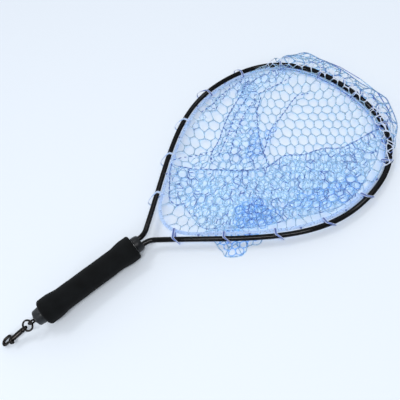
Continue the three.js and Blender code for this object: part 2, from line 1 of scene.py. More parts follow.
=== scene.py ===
# Looks for a landing net: smooth hoop, foam handle, snap hook and a folded bag of blue rubber mesh.
# Named sizes are millimetres. In the hoop's own frame x = 0 is the collar's front face,
# +x points at the hoop's tip and z = 0 is the plane of the tube's centre line.
import json
import math

import bpy
import numpy as np
from mathutils import Matrix, Vector


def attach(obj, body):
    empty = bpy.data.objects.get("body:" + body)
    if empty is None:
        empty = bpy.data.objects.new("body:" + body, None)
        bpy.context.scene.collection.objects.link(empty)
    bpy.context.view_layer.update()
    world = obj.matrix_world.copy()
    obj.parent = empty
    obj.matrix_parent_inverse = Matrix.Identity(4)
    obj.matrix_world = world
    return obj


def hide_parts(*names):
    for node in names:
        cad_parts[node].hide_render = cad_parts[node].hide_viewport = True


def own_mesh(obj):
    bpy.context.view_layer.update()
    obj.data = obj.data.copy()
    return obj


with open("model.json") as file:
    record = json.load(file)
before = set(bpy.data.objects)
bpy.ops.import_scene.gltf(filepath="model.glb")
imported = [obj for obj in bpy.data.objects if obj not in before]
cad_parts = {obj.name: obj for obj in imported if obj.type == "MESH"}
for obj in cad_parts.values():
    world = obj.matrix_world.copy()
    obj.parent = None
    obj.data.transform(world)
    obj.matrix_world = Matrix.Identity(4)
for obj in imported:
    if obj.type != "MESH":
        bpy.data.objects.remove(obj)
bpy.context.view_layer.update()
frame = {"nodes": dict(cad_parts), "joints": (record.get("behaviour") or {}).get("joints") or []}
JOINTS = {joint["name"]: joint for joint in frame["joints"]}
MM = 0.001
UP = np.array([0.0, 0.0, 1.0])
GAP = 0.3
FILLET_STEPS = 5

# Hoop tube, as in the solids
TUBE = 8.0
LEG_SPACING = 12.0
LEG_INSERT = 62.0
NECK_STRAIGHT = 2.0
NECK_RADIUS = 24.4
NECK_SLOPE = math.radians(38.6)
LEG_HANDLE = 134.0
SHOULDER_HANDLE = 94.5
WIDEST_AT = 283.5
HOOP_WIDTH = 338.0
FRONT_HANDLE = 92.5
TIP_HANDLE = 122.0
HOOP_LENGTH = 447.0
HOOP_STEP = 1.0
BEND_STEPS = 40
CURVE_STEPS = 600
TUBE_STEP = 4

# Handle
CORE = 23.0
GRIP_LENGTH = 158.0
GRIP_WAIST = 35.5
GRIP_END = 39.9
GRIP_FLAT = 15.0
GRIP_FLARE = 34.0
GRIP_EDGE = 4.0
GRIP_EDGE_STEPS = 9
GRIP_STEPS = 60
GRIP_SIDES = 96
LUMP = 0.12
LUMP_LENGTH = 5.0
LUMP_ROUND = 14.0
LUMP_SKIN = 1.0
COLLAR = 25.4
COLLAR_NOSE = 22.4
COLLAR_LENGTH = 11.4
COLLAR_FACE = 5.0
COLLAR_NOSE_FILLET = 1.6
COLLAR_FILLET = 2.5
COLLAR_EDGE = 0.6
CAP = 25.6
CAP_LENGTH = 12.0
CAP_FACE = 6.0
CAP_TAPER = 1.2
CAP_BAND = 3.0
CAP_FILLET = 2.6
CAP_SHOULDER = 4.0
CAP_EDGE = 0.5

# Eye bolt and snap
EYE_INNER = 6.2
EYE_WIRE = 2.8
EYE_FLANGE_DIAMETER = 12.0
EYE_FLANGE = 1.5
EYE_NECK = 0.6
SHANK = 4.0
RING_INNER = 12.8
RING_WIRE = 2.6
RING_PLAY = 0.4
RING_BOLD = 0.2
BOSS = 6.4
BOSS_LENGTH = 4.4
STUD = 2.6
STUD_HEAD = 5.0
STUD_HEAD_HEIGHT = 2.3
BARREL = 7.4
BARREL_LENGTH = 26.5
BARREL_BACK = 2.5
BOLT = 3.6
BOLT_TRAVEL = 6.5
BOLT_TAIL = 5.5
SPRING_WIRE = 0.6
SPRING_TURNS = 9
KNOB = 6.2
KNOB_HEIGHT = 2.2
STEM = 2.0
STEM_SETBACK = 2.2
STEM_ROOT = 0.5
HOOK_WIRE = 4.0
HOOK_BIGHT = 5.2
HOOK_TIP = 4.0
ARM_ROOT = 6.0
ARM_SHOULDER = 4.0
RING_ROLL = math.radians(25)
HOOK_ROLL = math.radians(12.5)
RING_STEPS = 64
COIL_STEPS = 16
HOOK_STEPS = 30
HOOK_TIP_STEPS = 8
ARM_STEPS = 6
ARM_ROOT_STEPS = 24
SLOT_STEPS = 9
CUT_PAST = 1.0
FINE_FILLET = 0.3
EDGE_FILLET = 0.4
SOFT_FILLET = 0.5
BOSS_FILLET = 0.7
ROUND_FILLET = 1.0
HEAD_FILLET = 1.2

# Rim of the net, its lugs and its loops
RIM_INSET = 8.6
RIM_WIDE = 5.2
RIM_THICK = 1.8
RIM_SLIM = 0.6
RIM_STEP = 3.0
RIM_SAMPLES = 1000
RIM_NECK_SAMPLES = 60
RIM_NECK_START = 84.0
RIM_NECK_HANDLE = 48.0
LUG_REACH = 2.6
LUG_HALF = 3.2
LUG_TIP = 0.25
LUG_THICK = 0.9
LUG_THINNING = 0.5
LUG_TAPER = 0.8
LUG_STEPS = 7
LOOP_FIRST = 47.5
LOOP_PITCH = 76.7
LOOP_COUNT = 15
LOOP_WIRE = 1.6
LOOP_CLEAR = 0.5
LOOP_REACH = 3.0
LOOP_THICK = 0.55
LOOP_ROOM = 6.0
LOOP_TUBE_STEPS = 40
LOOP_RIM_STEPS = 14
CORD = 0.45
FIRST_LEAD = 12.0
PALE_FROM = 900.0
# Angles round the tube over which a loop's slack begins and ends
SLACK_BEGINS = 0.4 * math.pi, 1.05 * math.pi
SLACK_ENDS = 1.2 * math.pi, 1.75 * math.pi
# Slack of the loops on each side: trail along the hoop, drop, half width and how much the slack narrows
LOWER_SLACK = 11.0, 1.4, 1.7, 0.9
UPPER_SLACK = 19.0, 5.0, 1.5, 0.8

# Strands of the bag. A section row is a share of the strand's half width and of its half height.
# Cells are kept, jittered and drifted by lengths that are shares of their pitch.
STRAND = 1.2
STRAND_HALF = 0.6
STRAND_SECTION = (0.6, 0.72), (1.0, 0.0), (0.6, -0.72)
EDGE_STEPS = 3
CELL_KEEP = 0.33
JITTER = 0.45, 0.39
DRIFT = 2.6, 2.2
CORNER_FILL = 0.9
EDGE_FILL = 0.15
HOLE_LIMIT = 0.6
FLOOR_CLEAR = 0.03
DARK_SHARE = 0.17
UNDER_DARK = 0.25, 0.35
TIP_DARK = 0.3
MAIN_SWAY = 6.0
FOLD_SWAY = 3.0
MAIN_SLIM = 0.92
MAIN_TALL = 1.5
NECK_SLIM = 0.35
NECK_REACH = 85.0, 125.0
TUBE_SWELL = 0.35
TUBE_BAND = 6.0, 10.0
FOLD_SLIM = 0.9

# Marks: dark strands that show edge-on along the folds
MARK_STEP = 8.6
MARK_LONG = 5.8
MARK_HALF = 0.95
MARK_TIP = 0.05
MARK_FLAT = 0.7
MARK_TAPER = 0.7
MARK_STEPS = 9
MARK_LEAN = 0.16
MARK_UNEVEN = 0.25

# Heights of the bag's layers, and the runs over which they rise and fall
FLOOR_LAYER = 0.7
MAIN_LAYER = 4.6
LAYER_CLEAR = 0.8
LAYER_RISE = 1.4, 2.7, 4.0, 5.2, 6.4
FOLD_SWELL = 0.5
SWELL_LENGTH = 16.0
RIM_BLEND = 18.0
WALL_RUN = 45.0
LIFT_BLEND = 40.0
CROSSING = 14.0
CREST = 9.0
LEAST_FALL = 6.0
OVER_TUBE = 8.4
UNDER_RIM = 2.5
UNDER_RUN = 4.5, 8.5
UNDER_LIFT = 0.9
FLAP_LIFT = 1.3
TIP_FOLD_HEIGHT = 13.0
TIP_FOLD_RISE = 1.9
MARK_LIFT = 0.5

# Cells squeezed along the creases: how far aside, how sharply, and over how many points at a crease's ends
SQUEEZE = 28.0
SQUEEZE_POWER = 0.75
SQUEEZE_BLEND = 8

# Steps along the bag's lines, passes that even its corners, and how many points are compared at a time
LINE_STEP = 2.0
TIP_STEP = 3.0
SPLINE_STEPS = 24
UNDER_SAMPLES = 200
EVEN_PASSES = 8
RELAX_PASSES = 4
BLOCK = 2000

# The hoop's frame in the world, from the snap's hinge: the frame tips down towards the hoop's tip
TILT = math.radians(1.72)
CAP_BACK = -(COLLAR_LENGTH + GAP + GRIP_LENGTH + GAP + CAP_LENGTH)
EYE_CENTRE = CAP_BACK - GAP - EYE_FLANGE - EYE_NECK - EYE_INNER / 2 - EYE_WIRE / 2
HINGE_AT = EYE_CENTRE - EYE_INNER / 2 + RING_WIRE / 2 + GAP + RING_PLAY
HINGE = Vector(JOINTS["snap_swing"]["pos_m"])
TIP_DOWN = Matrix.Rotation(TILT, 4, "Y")
ORIGIN = HINGE - TIP_DOWN @ Vector((HINGE_AT * MM, 0, 0))
WORLD = Matrix.Scale(MM, 4)
HOOP = Matrix.Translation(ORIGIN) @ TIP_DOWN @ WORLD

# The snap's frame: its -x runs from the hinge to the hook, its y is the hinge line
SNAP_X = -Vector(JOINTS["snap_swivel"]["axis"]).normalized()
SNAP_Y = Vector(JOINTS["snap_swing"]["axis"]).normalized()
SNAP_TURN = Matrix((SNAP_X, SNAP_Y, SNAP_X.cross(SNAP_Y))).transposed().to_4x4()
SNAP = Matrix.Translation(HINGE) @ SNAP_TURN @ WORLD
RING_FRAME = SNAP @ Matrix.Rotation(RING_ROLL, 4, "X")
HOOK_FRAME = SNAP @ Matrix.Rotation(-HOOK_ROLL, 4, "X")

# Camera: where it stands round a point of the hoop's plane, as the photograph shows it
VIEW_BEARING = math.radians(-115.965)
VIEW_HEIGHT = math.radians(60.25)
VIEW_ROLL = math.radians(-13.6)
VIEW_DISTANCE = 631.3
VIEW_TARGET = np.array([112.4, -3.2, 0.0])
VIEW_FLAT = np.array([math.cos(VIEW_BEARING), math.sin(VIEW_BEARING), 0.0])
VIEW_BACK = math.cos(VIEW_HEIGHT) * VIEW_FLAT + math.sin(VIEW_HEIGHT) * UP
EYE = VIEW_TARGET + VIEW_DISTANCE * VIEW_BACK
FILM = 36.0


# Small helpers
def unit(vectors):
    return vectors / np.linalg.norm(vectors, axis=-1, keepdims=True)


def smooth(start, end, value):
    share = np.clip((value - start) / (end - start), 0.0, 1.0)
    return share * share * (3 - 2 * share)


def waves(x, y, length, seed):
    """Smooth ripples between about -1 and 1, the same every run."""
    a = np.sin(x / length + 1.7 * seed) * np.cos(0.83 * y / length + 2.9 * seed)
    b = np.sin((0.62 * x - 0.79 * y) * 1.41 / length + 4.3 * seed)
    c = np.cos((0.48 * x + 0.88 * y) * 1.13 / length + 0.9 * seed)
    return (a + b + c) / 2.2


def pairs(ring):
    """Each member of a closed list with the next one."""
    return zip(ring, ring[1:] + ring[:1])


def in_scene(name, data):
    obj = bpy.data.objects.new(name, data)
    bpy.context.scene.collection.objects.link(obj)
    return obj


# Camera
def add_camera():
    right = unit(np.cross(-VIEW_BACK, UP))
    turn = Matrix((right, np.cross(VIEW_BACK, right), VIEW_BACK)).transposed().to_4x4()
    data = bpy.data.cameras.new("photo_camera")
    data.sensor_width = FILM
    data.lens = FILM
    camera = in_scene("photo_camera", data)
    turn = TIP_DOWN @ turn @ Matrix.Rotation(VIEW_ROLL, 4, "Z")
    camera.matrix_world = Matrix.Translation(HOOP @ Vector(EYE)) @ turn
    bpy.context.scene.camera = camera


# Closed skins: lists of points and faces
def strip(here, there):
    """Faces between two closed rows of point numbers."""
    count = len(here)
    return [(here[j], here[(j + 1) % count], there[(j + 1) % count], there[j]) for j in range(count)]


def ring_skin(rings, endless=False):
    """Skin through rings of points, with a cap at each end unless it is endless."""
    count, sides = rings.shape[:2]
    rows = np.arange(count * sides).reshape(count, sides)
    faces = []
    for i in range(count if endless else count - 1):
        faces += strip(rows[i], rows[(i + 1) % count])
    if not endless:
        faces += [rows[0][::-1], rows[-1]]
    return rings.reshape(-1, 3), faces


def sweep(path, across, wide, thick, sides, endless=False):
    """Skin along a path. The section is wide along the across direction; both are half sizes."""
    ahead = np.roll(path, -1, 0)
    behind = np.roll(path, 1, 0)
    if not endless:
        ahead[-1] = path[-1]
        behind[0] = path[0]
    along = unit(ahead - behind)
    across = np.broadcast_to(across, path.shape)
    across = unit(across - along * (across * along).sum(1, keepdims=True))
    rise = np.cross(along, across)
    wide = np.broadcast_to(wide, len(path))[:, None]
    thick = np.broadcast_to(thick, len(path))[:, None]
    turn = 2 * np.pi * np.arange(sides) / sides
    rings = path[:, None] + across[:, None] * (wide * np.cos(turn))[..., None]
    return ring_skin(rings + rise[:, None] * (thick * np.sin(turn))[..., None], endless)


def turned(profile, sides):
    """Skin turned about the x axis from (radius, x) points; a point on the axis closes it."""
    points = []
    rings = []
    for radius, x in profile:
        count = sides if radius > 0 else 1
        turn = 2 * np.pi * np.arange(count) / sides
        rings.append([len(points) + j % count for j in range(sides)])
        points.extend(np.column_stack([np.full(count, x), radius * np.cos(turn), radius * np.sin(turn)]))
    faces = [face for here, there in zip(rings[:-1], rings[1:]) for face in strip(here, there)]
    return np.array(points), [tuple(dict.fromkeys(face)) for face in faces]


def filleted(corners):
    """Profile with each (radius, x, fillet) corner rounded by an arc."""
    spots = np.array([corner[:2] for corner in corners], float)
    profile = [tuple(spots[0])]
    for before, spot, after, (_, _, fillet) in zip(spots[:-2], spots[1:-1], spots[2:], corners[1:-1]):
        if fillet == 0:
            profile.append(tuple(spot))
            continue
        one = unit(before - spot)
        two = unit(after - spot)
        half = math.acos(np.clip(np.dot(one, two), -1, 1)) / 2
        centre = spot + unit(one + two) * fillet / math.sin(half)
        start = spot + one * fillet / math.tan(half) - centre
        end = spot + two * fillet / math.tan(half) - centre
        for share in np.linspace(0, 1, FILLET_STEPS + 1):
            profile.append(tuple(centre + fillet * unit(start * (1 - share) + end * share)))
    profile.append(tuple(spots[-1]))
    return profile


def rod(radius, start, end, sides):
    return turned([(0, start), (radius, start), (radius, end), (0, end)], sides)


def joined(*skins):
    """One skin from several."""
    starts = np.cumsum([0] + [len(points) for points, _ in skins])
    faces = [tuple(i + start for i in face) for start, skin in zip(starts, skins) for face in skin[1]]
    return np.vstack([points for points, _ in skins]), faces


# Pieces
def new_object(name, skin, matrix):
    """Object from a closed skin that is set in a frame, with its faces turned outward."""
    grid = np.array(matrix)
    points = skin[0] @ grid[:3, :3].T + grid[:3, 3]
    faces = [[int(i) for i in face] for face in skin[1]]
    triangles = [(face[0], b, c) for face in faces for b, c in zip(face[1:-1], face[2:])]
    a, b, c = points[np.array(triangles)].transpose(1, 0, 2)
    if (a * np.cross(b, c)).sum() < 0:
        faces = [face[::-1] for face in faces]
    mesh = bpy.data.meshes.new(name)
    mesh.from_pydata(points.tolist(), [], faces)
    return in_scene(name, mesh)


def dress(obj, look, body="net_frame", sharp=None):
    """Smooth shading, look and body of a piece."""
    mesh = obj.data
    mesh.materials.clear()
    mesh.materials.append(look)
    mesh.polygons.foreach_set("use_smooth", [True] * len(mesh.polygons))
    if sharp is not None:
        mesh.set_sharp_from_angle(angle=math.radians(sharp))
    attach(obj, body)
    return obj


def second_look(piece, look, marks):
    """Gives the marked faces another look."""
    piece.data.materials.append(look)
    piece.data.polygons.foreach_set("material_index", np.array(marks, int))


def add_piece(name, node, skin, matrix, look, body="net_frame", sharp=None):
    """Piece that stands for a solid."""
    piece = dress(new_object(name, skin, matrix), look, body, sharp)
    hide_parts(node)
    return piece


def add_metal(name, node, body, matrix, first, unions, cuts=()):
    """Black metal piece for a solid, merged from overlapping skins, with other skins cut out."""
    base = new_object(name, first, matrix)
    spent = [base.data]
    for kind, skins in (("UNION", unions), ("DIFFERENCE", cuts)):
        for skin in skins:
            step = base.modifiers.new(kind, "BOOLEAN")
            step.operation = kind
            step.solver = "EXACT"
            step.object = new_object(name + "_tool", skin, matrix)
            spent.append(step.object.data)
    shape = base.evaluated_get(bpy.context.evaluated_depsgraph_get())
    base.data = bpy.data.meshes.new_from_object(shape)
    base.modifiers.clear()
    for mesh in spent:
        bpy.data.meshes.remove(mesh)
    dress(base, METAL_LOOK, body, sharp=35)
    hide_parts(node)


# Materials: noise over the object's own metres varies the colour, the roughness and the surface
NOISE_SPAN = 0.3, 0.7


def set_inputs(node, values):
    for socket, value in values.items():
        node.inputs[socket].default_value = value


def new_material(name, colour, roughness, metallic=0.0):
    material = bpy.data.materials.new(name)
    material.use_nodes = True
    shader = material.node_tree.nodes["Principled BSDF"]
    set_inputs(shader, {"Base Color": (*colour, 1.0), "Roughness": roughness, "Metallic": metallic})
    return material, shader


def noise(tree, scale, detail=4.0):
    place = tree.nodes.new("ShaderNodeTexCoord")
    texture = tree.nodes.new("ShaderNodeTexNoise")
    set_inputs(texture, {"Scale": scale, "Detail": detail})
    tree.links.new(place.outputs["Object"], texture.inputs["Vector"])
    return texture.outputs["Fac"]


def vary_colour(shader, scale, low, high):
    tree = shader.id_data
    ramp = tree.nodes.new("ShaderNodeValToRGB")
    for element, position, colour in zip(ramp.color_ramp.elements, NOISE_SPAN, (low, high)):
        element.position = position
        element.color = (*colour, 1.0)
    tree.links.new(noise(tree, scale), ramp.inputs["Fac"])
    tree.links.new(ramp.outputs["Color"], shader.inputs["Base Color"])


def vary_roughness(shader, scale, low, high):
    tree = shader.id_data
    span = tree.nodes.new("ShaderNodeMapRange")
    start, end = NOISE_SPAN
    set_inputs(span, {"From Min": start, "From Max": end, "To Min": low, "To Max": high})
    tree.links.new(noise(tree, scale), span.inputs["Value"])
    tree.links.new(span.outputs["Result"], shader.inputs["Roughness"])


def add_bumps(shader, scale, strength, depth, detail=4.0):
    """Fine bumps; their depth is in metres."""
    tree = shader.id_data
    bump = tree.nodes.new("ShaderNodeBump")
    set_inputs(bump, {"Strength": strength, "Distance": depth})
    tree.links.new(noise(tree, scale, detail), bump.inputs["Height"])
    tree.links.new(bump.outputs["Normal"], shader.inputs["Normal"])


def tube_material():
    material, shader = new_material("black_tube_satin", (0.026, 0.026, 0.027), 0.14, 1.0)
    set_inputs(shader, {"Specular Tint": (0.3, 0.3, 0.3, 1.0)})
    vary_colour(shader, 160, (0.021, 0.021, 0.022), (0.027, 0.027, 0.028))
    vary_roughness(shader, 420, 0.06, 0.11)
    add_bumps(shader, 1500, 0.06, 0.0001)
    return material


def foam_material():
    material, shader = new_material("foam_black", (0.005, 0.0055, 0.006), 0.9)
    set_inputs(shader, {"Specular IOR Level": 0.08, "Sheen Weight": 0.02, "Sheen Roughness": 0.6})
    vary_colour(shader, 60, (0.0045, 0.005, 0.0055), (0.007, 0.008, 0.009))
    add_bumps(shader, 1300, 0.55, 0.0006, detail=6.0)
    return material


def plastic_material(name, low, high):
    material, shader = new_material(name, high, 0.4)
    set_inputs(shader, {"Specular IOR Level": 0.28})
    vary_colour(shader, 220, low, high)
    vary_roughness(shader, 500, 0.32, 0.48)
    add_bumps(shader, 2400, 0.15, 0.0002)
    return material


def metal_material():
    material, shader = new_material("black_metal_gloss", (0.03, 0.028, 0.027), 0.2, 1.0)
    set_inputs(shader, {"Specular Tint": (0.5, 0.5, 0.5, 1.0)})
    vary_colour(shader, 300, (0.022, 0.020, 0.0195), (0.036, 0.033, 0.031))
    vary_roughness(shader, 700, 0.12, 0.22)
    add_bumps(shader, 1800, 0.08, 0.0001)
    return material


def plain_metal(name, colour, roughness):
    material, shader = new_material(name, colour, roughness, 1.0)
    vary_roughness(shader, 900, roughness - 0.08, roughness + 0.1)
    return material


def rubber(name, low, high, clearness, shade):
    """Clear rubber; light that passes through it to the floor is tinted by the shade."""
    material, shader = new_material(name, high, 0.3)
    set_inputs(shader, {"IOR": 1.45, "Transmission Weight": clearness})
    vary_colour(shader, 55, low, high)
    vary_roughness(shader, 380, 0.22, 0.4)
    add_bumps(shader, 900, 0.1, 0.0002)
    nodes = material.node_tree.nodes
    links = material.node_tree.links
    clear = nodes.new("ShaderNodeBsdfTransparent")
    set_inputs(clear, {"Color": (*shade, 1.0)})
    path = nodes.new("ShaderNodeLightPath")
    mix = nodes.new("ShaderNodeMixShader")
    links.new(path.outputs["Is Shadow Ray"], mix.inputs["Fac"])
    links.new(shader.outputs["BSDF"], mix.inputs[1])
    links.new(clear.outputs["BSDF"], mix.inputs[2])
    links.new(mix.outputs["Shader"], nodes["Material Output"].inputs["Surface"])
    return material


TUBE_LOOK = tube_material()
FOAM_LOOK = foam_material()
# The collar is the same plastic as the cap: its darker copy is painted shade.
COLLAR_SHADED_LOOK = plastic_material("collar_plastic_painted_shade", (0.004, 0.005, 0.007), (0.007, 0.009, 0.012))
# The cap is the same plastic as the collar: its lighter copy is painted light.
CAP_LIT_LOOK = plastic_material("cap_plastic_painted_light", (0.014, 0.017, 0.020), (0.021, 0.025, 0.029))
METAL_LOOK = metal_material()
NET_LOOK = rubber("net_rubber_blue", (0.42, 0.55, 0.66), (0.53, 0.67, 0.78), 0.6, (0.02, 0.54, 0.86))
FOLD_LOOK = rubber("fold_rubber_blue", (0.43, 0.59, 0.79), (0.59, 0.74, 0.87), 0.75, (0.70, 0.87, 0.95))
DEEP_LOOK = rubber("deep_rubber_blue", (0.26, 0.48, 0.84), (0.38, 0.60, 0.91), 0.7, (0.56, 0.82, 0.98))
# Paler, less clear copy of the net rubber; its whiter colour is painted highlight, on strands over the black
# tube, on the tip's fold and on the loops' edge cords.
PALE_HIGHLIGHT_LOOK = rubber("pale_rubber_painted_highlight", (0.62, 0.70, 0.86), (0.74, 0.80, 0.92), 0.1, (0.80, 0.90, 1.0))
RIM_LOOK = rubber("rim_rubber_pale", (0.46, 0.61, 0.88), (0.58, 0.73, 0.94), 0.35, (0.74, 0.87, 1.0))
LOOP_LOOK = rubber("loop_rubber_blue", (0.07, 0.13, 0.38), (0.14, 0.22, 0.54), 0.3, (0.60, 0.70, 0.95))
CREASE_LOOK = rubber("crease_rubber_blue", (0.07, 0.14, 0.42), (0.12, 0.21, 0.54), 0.2, (0.60, 0.72, 0.98))
ALUMINIUM_LOOK = plain_metal("bare_aluminium", (0.7, 0.71, 0.73), 0.4)
STEEL_LOOK = plain_metal("bare_steel", (0.6, 0.61, 0.62), 0.35)


# Lines
def cubic(points, steps):
    share = np.linspace(0, 1, steps + 1)[:, None]
    a, b, c, d = (np.array(point, float) for point in points)
    rest = 1 - share
    return a * rest ** 3 + 3 * b * share * rest ** 2 + 3 * c * share ** 2 * rest + d * share ** 3


def evenly(line, step):
    """The same line with points at equal steps along it."""
    run = np.concatenate([[0], np.cumsum(np.linalg.norm(np.diff(line, axis=0), axis=1))])
    count = max(2, int(round(run[-1] / step)))
    at = np.linspace(0, run[-1], count + 1)
    return np.column_stack([np.interp(at, run, column) for column in line.T])


def through(points, endless=True, step=LINE_STEP):
    """Smooth line through chosen points, with its own points at equal steps."""
    points = np.array(points, float)
    before, after = (points[-1:], points[:2]) if endless else (points[:1], points[-1:])
    points = np.vstack([before, points, after])
    parts = [cubic([b, b + (c - a) / 6, c - (d - b) / 6, c], SPLINE_STEPS)[:-1]
             for a, b, c, d in zip(points[:-3], points[1:-2], points[2:-1], points[3:])]
    line = evenly(np.vstack([*parts, points[-2:-1]]), step)
    return line[:-1] if endless else line


def nearest(points, line):
    """Number of the nearest point of a line, and its distance, for many points, a block at a time."""
    found = []
    away = []
    for part in np.array_split(points, len(points) // BLOCK + 1):
        far = ((part[:, None] - line[None]) ** 2).sum(2)
        found.append(far.argmin(1))
        away.append(np.sqrt(far.min(1)))
    return np.concatenate(found), np.concatenate(away)


def contains(outline, points):
    x, y = points.T
    inside = np.zeros(len(points), bool)
    for (ax, ay), (bx, by) in zip(outline, np.roll(outline, -1, 0)):
        if ay != by:
            inside ^= ((ay > y) != (by > y)) & (x < ax + (bx - ax) * (y - ay) / (by - ay))
    return inside


def flat_path(line):
    """Plan line as a path in the hoop's plane."""
    return np.column_stack([line, np.zeros(len(line))])


# Hoop: its centre line, sampled in small even steps
def half_outline():
    side = LEG_SPACING / 2
    turn = np.linspace(0, NECK_SLOPE, BEND_STEPS)[:, None]
    bend = np.hstack([NECK_STRAIGHT + NECK_RADIUS * np.sin(turn), side + NECK_RADIUS * (1 - np.cos(turn))])
    slope = np.array([math.cos(NECK_SLOPE), math.sin(NECK_SLOPE)])
    widest = (WIDEST_AT, HOOP_WIDTH / 2)
    leg = cubic([bend[-1], bend[-1] + LEG_HANDLE * slope,
                 (WIDEST_AT - SHOULDER_HANDLE, HOOP_WIDTH / 2), widest], CURVE_STEPS)
    nose = cubic([widest, (WIDEST_AT + FRONT_HANDLE, HOOP_WIDTH / 2),
                  (HOOP_LENGTH, TIP_HANDLE), (HOOP_LENGTH, 0)], CURVE_STEPS)
    return evenly(np.vstack([[[0, side]], bend, leg[1:], nose[1:]]), HOOP_STEP)


HALF = half_outline()
HALF_LENGTH = np.linalg.norm(np.diff(HALF, axis=0), axis=1).sum()
HOOP_LINE = np.vstack([HALF * (1, -1), HALF[-2::-1]])
HOOP_STATION = np.linspace(0, 2 * HALF_LENGTH, len(HOOP_LINE))
HOOP_ALONG = unit(np.gradient(HOOP_LINE, axis=0))
HOOP_INWARD = np.column_stack([-HOOP_ALONG[:, 1], HOOP_ALONG[:, 0]])


def hoop_at(station):
    """Point and inward direction of the hoop's centre line, by distance from the -y leg's collar face."""
    point = np.column_stack([np.interp(station, HOOP_STATION, column) for column in HOOP_LINE.T])
    inward = np.column_stack([np.interp(station, HOOP_STATION, column) for column in HOOP_INWARD.T])
    return point, unit(inward)


def from_hoop(spots):
    """Station of the nearest point of the hoop, and how far inside its centre line each place lies."""
    near, _ = nearest(spots, HOOP_LINE)
    return HOOP_STATION[near], ((spots - HOOP_LINE[near]) * HOOP_INWARD[near]).sum(1)


def plane_height(x):
    """Height of the hoop's plane above the floor."""
    return ORIGIN.z / MM - x * math.sin(TILT)


def add_hoop():
    legs = np.array([[-LEG_INSERT, 0], [-LEG_INSERT / 2, 0]]) + (0, LEG_SPACING / 2)
    line = np.vstack([legs * (1, -1), HOOP_LINE[::TUBE_STEP], legs[::-1]])
    tube = sweep(flat_path(line), UP, TUBE / 2, TUBE / 2, sides=28)
    add_piece("hoop_tube_smooth", "hoop_tube", tube, HOOP, TUBE_LOOK, sharp=40)


# Handle
def add_handle():
    cup = CORE / 2 + GAP
    side = COLLAR / 2
    collar = turned(filleted([
        (0, 0, 0), (COLLAR_NOSE / 2, 0, COLLAR_NOSE_FILLET), (side, -COLLAR_FACE, COLLAR_FILLET),
        (side, -COLLAR_LENGTH, COLLAR_EDGE), (cup, -COLLAR_LENGTH, 0), (cup, -COLLAR_FACE, 0),
        (0, -COLLAR_FACE, 0)]), sides=72)
    # The collar takes the darker copy of the plastic: painted shade.
    add_piece("front_collar_smooth", "front_collar", collar, HOOP, COLLAR_SHADED_LOOK, sharp=30)
    side = CAP / 2
    front = CAP_BACK + CAP_LENGTH
    face = CAP_BACK + CAP_FACE
    cap = turned(filleted([
        (0, CAP_BACK, 0), (side - CAP_TAPER, CAP_BACK, CAP_FILLET), (side, front - CAP_BAND, CAP_SHOULDER),
        (side, front, CAP_EDGE), (cup, front, 0), (cup, face, 0), (0, face, 0)]), sides=72)
    # The cap takes the lighter copy of the plastic: painted light.
    add_piece("butt_cap_smooth", "butt_cap", cap, HOOP, CAP_LIT_LOOK, sharp=30)
    add_grip()


def add_grip():
    """Foam grip: straight waist and a rounded band at each end, with the faint lumps of moulded foam."""
    bore = CORE / 2 + GAP
    half = GRIP_LENGTH / 2
    middle = -(COLLAR_LENGTH + GAP) - half
    end = np.linspace(0, np.pi / 2, GRIP_EDGE_STEPS)
    from_end = np.concatenate([GRIP_EDGE * (1 - np.cos(end)), np.linspace(GRIP_EDGE, half, GRIP_STEPS)[1:]])
    swell = GRIP_END / 2 - (GRIP_END - GRIP_WAIST) / 2 * smooth(GRIP_FLAT, GRIP_FLARE, from_end)
    swell[:GRIP_EDGE_STEPS] = swell[GRIP_EDGE_STEPS - 1] - GRIP_EDGE * (1 - np.sin(end))
    radius = np.concatenate([swell, swell[-2::-1]])
    x = np.concatenate([half - from_end, (from_end - half)[-2::-1]]) + middle
    profile = [(bore, x[0]), *zip(radius, x), (bore, x[-1])]
    points, faces = turned(profile, GRIP_SIDES)
    faces += strip(range(GRIP_SIDES), range(len(points) - GRIP_SIDES, len(points)))
    out = np.hypot(points[:, 1], points[:, 2])
    around = LUMP_ROUND * points[:, 2] / out
    lump = LUMP * waves(points[:, 0], around, LUMP_LENGTH, seed=3) * (out > bore + LUMP_SKIN)
    points[:, 1:] *= ((out + lump) / out)[:, None]
    grip = add_piece("foam_grip_soft", "foam_grip", (points, faces), HOOP, FOAM_LOOK, sharp=50)


# Eye bolt and snap
RING_MEAN = (RING_INNER + RING_WIRE) / 2
BOSS_FRONT = 2 * RING_MEAN + BOSS_LENGTH / 2
BOSS_BACK = 2 * RING_MEAN - BOSS_LENGTH / 2
BARREL_START = BOSS_FRONT + GAP
BARREL_END = BARREL_START + BARREL_LENGTH
BORE_START = BARREL_START + BARREL_BACK
BOLT_START = BARREL_END - BOLT_TAIL
HOOK_TIP_AT = BARREL_END + BOLT_TRAVEL + GAP
STEM_AT = BARREL_END - STEM_SETBACK
HOOK_RADIUS = (BOLT + HOOK_WIRE + 2 * HOOK_BIGHT) / 4
HOOK_CENTRE = HOOK_TIP_AT + HOOK_TIP


def wire_ring(mean, wire, side, normal, x):
    """Round wire ring whose centre is on the x axis."""
    turn = 2 * np.pi * np.arange(RING_STEPS)[:, None] / RING_STEPS
    path = (x, 0, 0) + mean * (np.cos(turn) * (1, 0, 0) + np.sin(turn) * side)
    return sweep(path, normal, wire / 2, wire / 2, sides=20, endless=True)


def add_eye():
    flange = CAP_BACK - GAP
    back = flange - EYE_FLANGE
    neck = back - EYE_NECK - EYE_WIRE / 2
    nut = CAP_BACK + CAP_FACE
    wide = EYE_FLANGE_DIAMETER / 2
    shank = SHANK / 2
    bolt = turned(filleted([
        (0, neck, 0), (shank, neck, 0), (shank, back, SOFT_FILLET), (wide, back, SOFT_FILLET),
        (wide, flange, FINE_FILLET), (shank, flange, 0), (shank, nut, 0), (0, nut, 0)]), sides=48)
    ring = wire_ring((EYE_INNER + EYE_WIRE) / 2, EYE_WIRE, UP, np.array([0.0, 1.0, 0.0]), EYE_CENTRE)
    add_metal("eye_bolt_smooth", "eye_bolt", "net_frame", HOOP, bolt, [ring])


